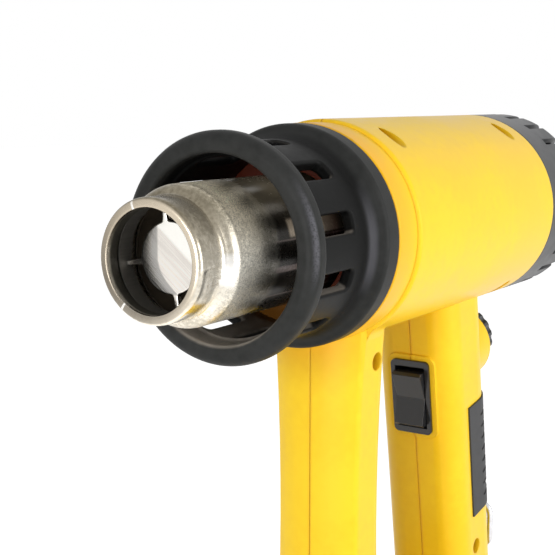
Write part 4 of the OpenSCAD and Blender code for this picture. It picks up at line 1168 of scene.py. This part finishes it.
@dataclass
class Baffle:
    """The baffle in the mouth: a disc on four thin spokes in a ring."""

    disc: float = 10.25 * MM
    spokes: int = 4
    spoke_turn: float = math.radians(-9)
    root: float = 1.7 * MM
    tip: float = 1.15 * MM
    fillet: float = 0.9 * MM
    ring_wall: float = 0.8 * MM
    ring_overhang: float = 3.0 * MM
    ring_round: float = 0.15 * MM
    depth: float = 1.6 * MM
    edge: float = 0.35 * MM
    steps: int = 40
    edge_steps: int = 4
    flat_shares: tuple[float, ...] = (0.5, 0.9, 0.94)

    def outline(self, reach: float) -> list[RoundPoint]:
        """One side of a sector's outline, as (distance across, distance out), from the disc to the ring.

        Args:
            reach: How far out the spoke ends.

        Returns:
            The points.
        """
        half, f = self.root / 2, self.fillet
        centre = (half + f, math.sqrt((self.disc + f) ** 2 - (half + f) ** 2))
        touch = math.degrees(math.atan2(*centre))
        points = arc((0.0, 0.0), self.disc, 90 - 180 / self.spokes, 90 - touch, self.steps)
        points += arc(centre, f, -90 - touch, -180, steps=8)[1:]
        return points + line((half, centre[1]), (self.tip / 2, reach), 6)

    def loop(self, reach: float, inset: float) -> list[RoundPoint]:
        """A sector's whole outline, moved inwards.

        Args:
            reach: How far out the spoke ends.
            inset: How far inwards it is moved.

        Returns:
            The points, from the left side over the spoke to the right side.
        """
        side = self.outline(reach)
        half = []
        for i, (u, v) in enumerate(side):
            before, after = side[max(i - 1, 0)], side[min(i + 1, len(side) - 1)]
            du, dv = (after[0] - before[0], after[1] - before[1]) if i else (-v, u)
            size = math.hypot(du, dv)
            half.append((u - inset * dv / size, v + inset * du / size))
        return [(-u, v) for u, v in half] + half[::-1]

    def plate_rows(self, front: float, reach: float) -> list[list[Point]]:
        """One sector of the disc with its spoke, from the middle of its front to the middle of its back.

        Args:
            front: The place of its front.
            reach: How far out the spoke ends.

        Returns:
            Rows of points.
        """
        rim = self.loop(reach, self.edge)
        rows = [[(front, 0.0, 0.0)] * len(rim)]
        for share in self.flat_shares:
            flats = [share * self.disc / math.hypot(u, v) for u, v in rim]
            rows.append([(front, u * flat, v * flat) for (u, v), flat in zip(rim, flats)])
        for inset, drop in rounding(self.edge, self.edge_steps):
            rows.append([(front - drop, u, v) for u, v in self.loop(reach, inset)])
        back = front - self.depth
        return rows + [[(back, u, v) for _, u, v in rows[-1]], [(back, 0.0, 0.0)] * len(rim)]

    def build(self, repeater: Repeater, material: bpy.types.Material) -> bpy.types.Object:
        """Makes the baffle.

        Args:
            repeater: The tree that copies a sector.
            material: The baffle's finish.

        Returns:
            The finished piece.
        """
        low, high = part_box("baffle")
        outer, b = (high.z - low.z) / 2, self.ring_round
        inner = outer - self.ring_wall
        profile = [(inner, low.x), (inner, high.x - b), (inner + b, high.x), (outer - b, high.x),
                   (outer, high.x - b), (outer, low.x)]
        draft = MeshDraft()
        draft.grid(self.plate_rows(high.x - self.ring_overhang, inner + self.ring_wall / 2))
        draft.grid(turned_rows(profile, spread(math.pi / self.spokes, self.steps)), wrap_points=True)
        piece = repeater.run(draft.finish("baffle_sector"), "baffle_plate", self.spokes, self.spoke_turn,
                             material)
        even_normals(piece)
        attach(piece, "tool_body")
        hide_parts("baffle")
        return piece


@dataclass
class Dressing:
    """The CAD nodes that keep their own shape, and the finish of each."""

    effects: Effects

    @staticmethod
    def finishes() -> list[tuple[Any, str]]:
        """Each finish with the nodes that it covers."""
        plastic, metal = MouldedPlastic, WorkedMetal
        return [
            (HousingPlastic("housing_yellow", (0.94, 0.62, 0.018), (0.90, 0.57, 0.014), 0.36, specular=0.22,
                            grain_depth=0.000012, wave_share=1.6, soft_edge=0.0008),
             "left_housing right_housing"),
            (plastic("cap_black", (0.030, 0.031, 0.033), (0.022, 0.023, 0.025), 0.42), "rear_cap"),
            (plastic("inner_plastic", (0.16, 0.16, 0.17), (0.12, 0.12, 0.13), 0.5),
             "air_guide motor_carrier"),
            (plastic("soft_rubber", (0.026, 0.026, 0.028), (0.018, 0.018, 0.02), 0.62, grain_depth=0.00004),
             "grip_cover foot_pad motor_boot cord_gland"),
            (plastic("switch_black", (0.018, 0.018, 0.02), (0.014, 0.014, 0.015), 0.2, grain_depth=0.000004),
             "switch_body rocker"),
            (plastic("mica_board", (0.11, 0.085, 0.055), (0.065, 0.050, 0.034), 0.6),
             "mica_sleeve heater_plate"),
            (plastic("core_ceramic", (0.42, 0.38, 0.32), (0.30, 0.265, 0.215), 0.7), "heater_core"),
            (metal("turned_steel", (0.36, 0.36, 0.37), (0.27, 0.27, 0.28), 0.42),
             "motor_shaft housing_screws clamp_screws"),
            (metal("motor_steel", (0.60, 0.61, 0.63), (0.46, 0.46, 0.48), 0.36), "motor_case"),
            (plastic("dial_black", (0.030, 0.030, 0.032), (0.022, 0.022, 0.024), 0.4), "dial"),
            (plastic("fan_nylon", (0.06, 0.06, 0.065), (0.045, 0.045, 0.05), 0.4), "fan"),
            (metal("element_wire", (0.30, 0.25, 0.21), (0.2, 0.16, 0.13), 0.45), "heating_elements"),
            (metal("cutout_metal", (0.72, 0.73, 0.75), (0.6, 0.6, 0.62), 0.3), "thermal_cutout"),
            (metal("sink_metal", (0.72, 0.73, 0.75), (0.6, 0.6, 0.62), 0.35), "heat_sink"),
            (metal("copper_winding", (0.72, 0.36, 0.19), (0.5, 0.24, 0.12), 0.35), "armature"),
            (plastic("ferrite", (0.09, 0.09, 0.095), (0.06, 0.06, 0.065), 0.5), "motor_magnets"),
            (metal("screen_wire", (0.3, 0.3, 0.31), (0.2, 0.2, 0.21), 0.4), "dust_screen"),
            (plastic("regulator_blue", (0.12, 0.2, 0.36), (0.09, 0.16, 0.3), 0.45), "dial_regulator"),
            (plastic("board_green", (0.05, 0.2, 0.09), (0.035, 0.15, 0.065), 0.35), "control_board"),
            (plastic("capacitor_yellow", (0.7, 0.48, 0.1), (0.6, 0.4, 0.08), 0.35), "capacitor"),
            (plastic("terminal_white", (0.76, 0.75, 0.70), (0.68, 0.66, 0.6), 0.5), "terminal_block"),
            (plastic("clamp_white", (0.76, 0.75, 0.70), (0.68, 0.66, 0.6), 0.5), "cord_clamp"),
            (metal("ring_wire", (0.70, 0.71, 0.73), (0.58, 0.58, 0.6), 0.22), "hang_ring"),
        ]

    def apply(self) -> None:
        """Gives each node its finish."""
        for finish, nodes in self.finishes():
            material = finish.make(self.effects)
            for node in nodes.split():
                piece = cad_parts[node]
                if not piece.material_slots:
                    piece.data.materials.append(None)
                for slot in piece.material_slots:
                    slot.material = material
                LOG.info("dressed %s in %s", node, finish.name)


@dataclass
class Studio:
    """The pale floor, the soft lamps and the camera."""

    camera_place: Point = (MOUTH_X + 0.24192, 0.20070, AXIS_Z + 0.04300)
    azimuth: float = math.radians(33.33)
    elevation: float = math.radians(8.58)
    lens: float = 76.36
    sensor: float = 36.0
    near_limit: float = 0.01
    lamp_aim: Point = (0.03, 0.0, 0.15)
    floor_size: float = 8.0
    floor_tone: Colour = (0.88, 0.88, 0.88)
    floor_roughness: float = 0.8
    world_fill: float = 0.38
    floor_glow: float = 0.66

    def camera(self) -> None:
        """Places the camera where the photograph was taken."""
        data = bpy.data.cameras.new("camera")
        data.lens, data.sensor_width, data.clip_start = self.lens, self.sensor, self.near_limit
        camera = new_object("camera", data)
        turn, flat = self.azimuth, math.cos(self.elevation)
        back = Vector((math.cos(turn) * flat, math.sin(turn) * flat, math.sin(self.elevation)))
        camera.location = self.camera_place
        camera.rotation_euler = (-back).to_track_quat("-Z", "Y").to_euler()
        bpy.context.scene.camera = camera

    def lamp(self, name: str, place: Point, size: float, power: float) -> None:
        """Hangs a soft white lamp that shines at the barrel.

        Args:
            name: The lamp's name.
            place: Where it hangs.
            size: The side of its square face.
            power: Its power in watts.
        """
        data = bpy.data.lights.new(name, "AREA")
        data.shape, data.size, data.energy = "SQUARE", size, power
        lamp = new_object(name, data)
        lamp.location = place
        lamp.rotation_euler = (Vector(self.lamp_aim) - Vector(place)).to_track_quat("-Z", "Y").to_euler()

    def world(self) -> None:
        """A white room that the camera and glossy surfaces see, and a softer fill for the rest."""
        world = bpy.data.worlds.new("studio")
        world.use_nodes = True
        world.node_tree.nodes.clear()
        sheet = Sheet(world.node_tree)
        path = sheet.add("ShaderNodeLightPath").outputs
        sharp = sheet.most(path["Is Camera Ray"], path["Is Transmission Ray"], path["Is Glossy Ray"])
        strength = sheet.add("ShaderNodeMix", {0: sharp, 2: self.world_fill, 3: 1.0}, data_type="FLOAT")
        light = sheet.add("ShaderNodeBackground", {"Color": (1, 1, 1), "Strength": strength.outputs[0]})
        sheet.add("ShaderNodeOutputWorld", {0: light.outputs[0]})
        bpy.context.scene.world = world

    def floor(self) -> None:
        """A pale floor that looks white to the camera and keeps the tool's shadow."""
        half = self.floor_size / 2
        mesh = bpy.data.meshes.new("floor")
        mesh.from_pydata([(-half, -half, 0), (half, -half, 0), (half, half, 0), (-half, half, 0)], [],
                         [(0, 1, 2, 3)])
        floor = new_object("floor", mesh)
        sheet = MaterialSheet("pale_floor")
        path = sheet.add("ShaderNodeLightPath").outputs
        glow = sheet.times(sheet.most(path["Is Camera Ray"], path["Is Glossy Ray"]), self.floor_glow)
        sheet.set(Base_Color=self.floor_tone, Roughness=self.floor_roughness, Emission_Color=(1, 1, 1),
                  Emission_Strength=glow)
        floor.data.materials.append(sheet.material)

    def build(self) -> None:
        """Sets the whole studio up."""
        self.camera()
        self.world()
        self.floor()
        self.lamp("side_lamp", (-0.05, 0.80, 0.30), size=0.6, power=4.9)
        self.lamp("front_lamp", (0.94, 0.10, 0.24), size=0.5, power=5.2)
        self.lamp("top_lamp", (-0.10, 0.10, 0.95), size=0.6, power=0.2)
        bpy.context.scene.view_settings.view_transform = "Standard"


def main() -> None:
    """Builds the studio and dresses the tool, piece by piece."""
    logging.basicConfig(level=logging.INFO, format="%(name)s: %(message)s")
    Studio().build()
    effects, repeater = Effects(), Repeater()
    black = GuardPlastic("guard_black", (0.0310, 0.0315, 0.0305), (0.0200, 0.0205, 0.0196), 0.42,
                         specular=0.07, grain_depth=0.00004, wave_share=1.2, soft_edge=0.0)
    for piece in (Guard().build(repeater, black.make(effects)),
                  HeaterTube().build(HeatTintedSteel().make(effects)),
                  Baffle().build(repeater, BrushedPlate().make(effects))):
        LOG.info("made %s with %d faces", piece.name, len(piece.data.polygons))
    Dressing(effects).apply()


if __name__ == "__main__":
    main()
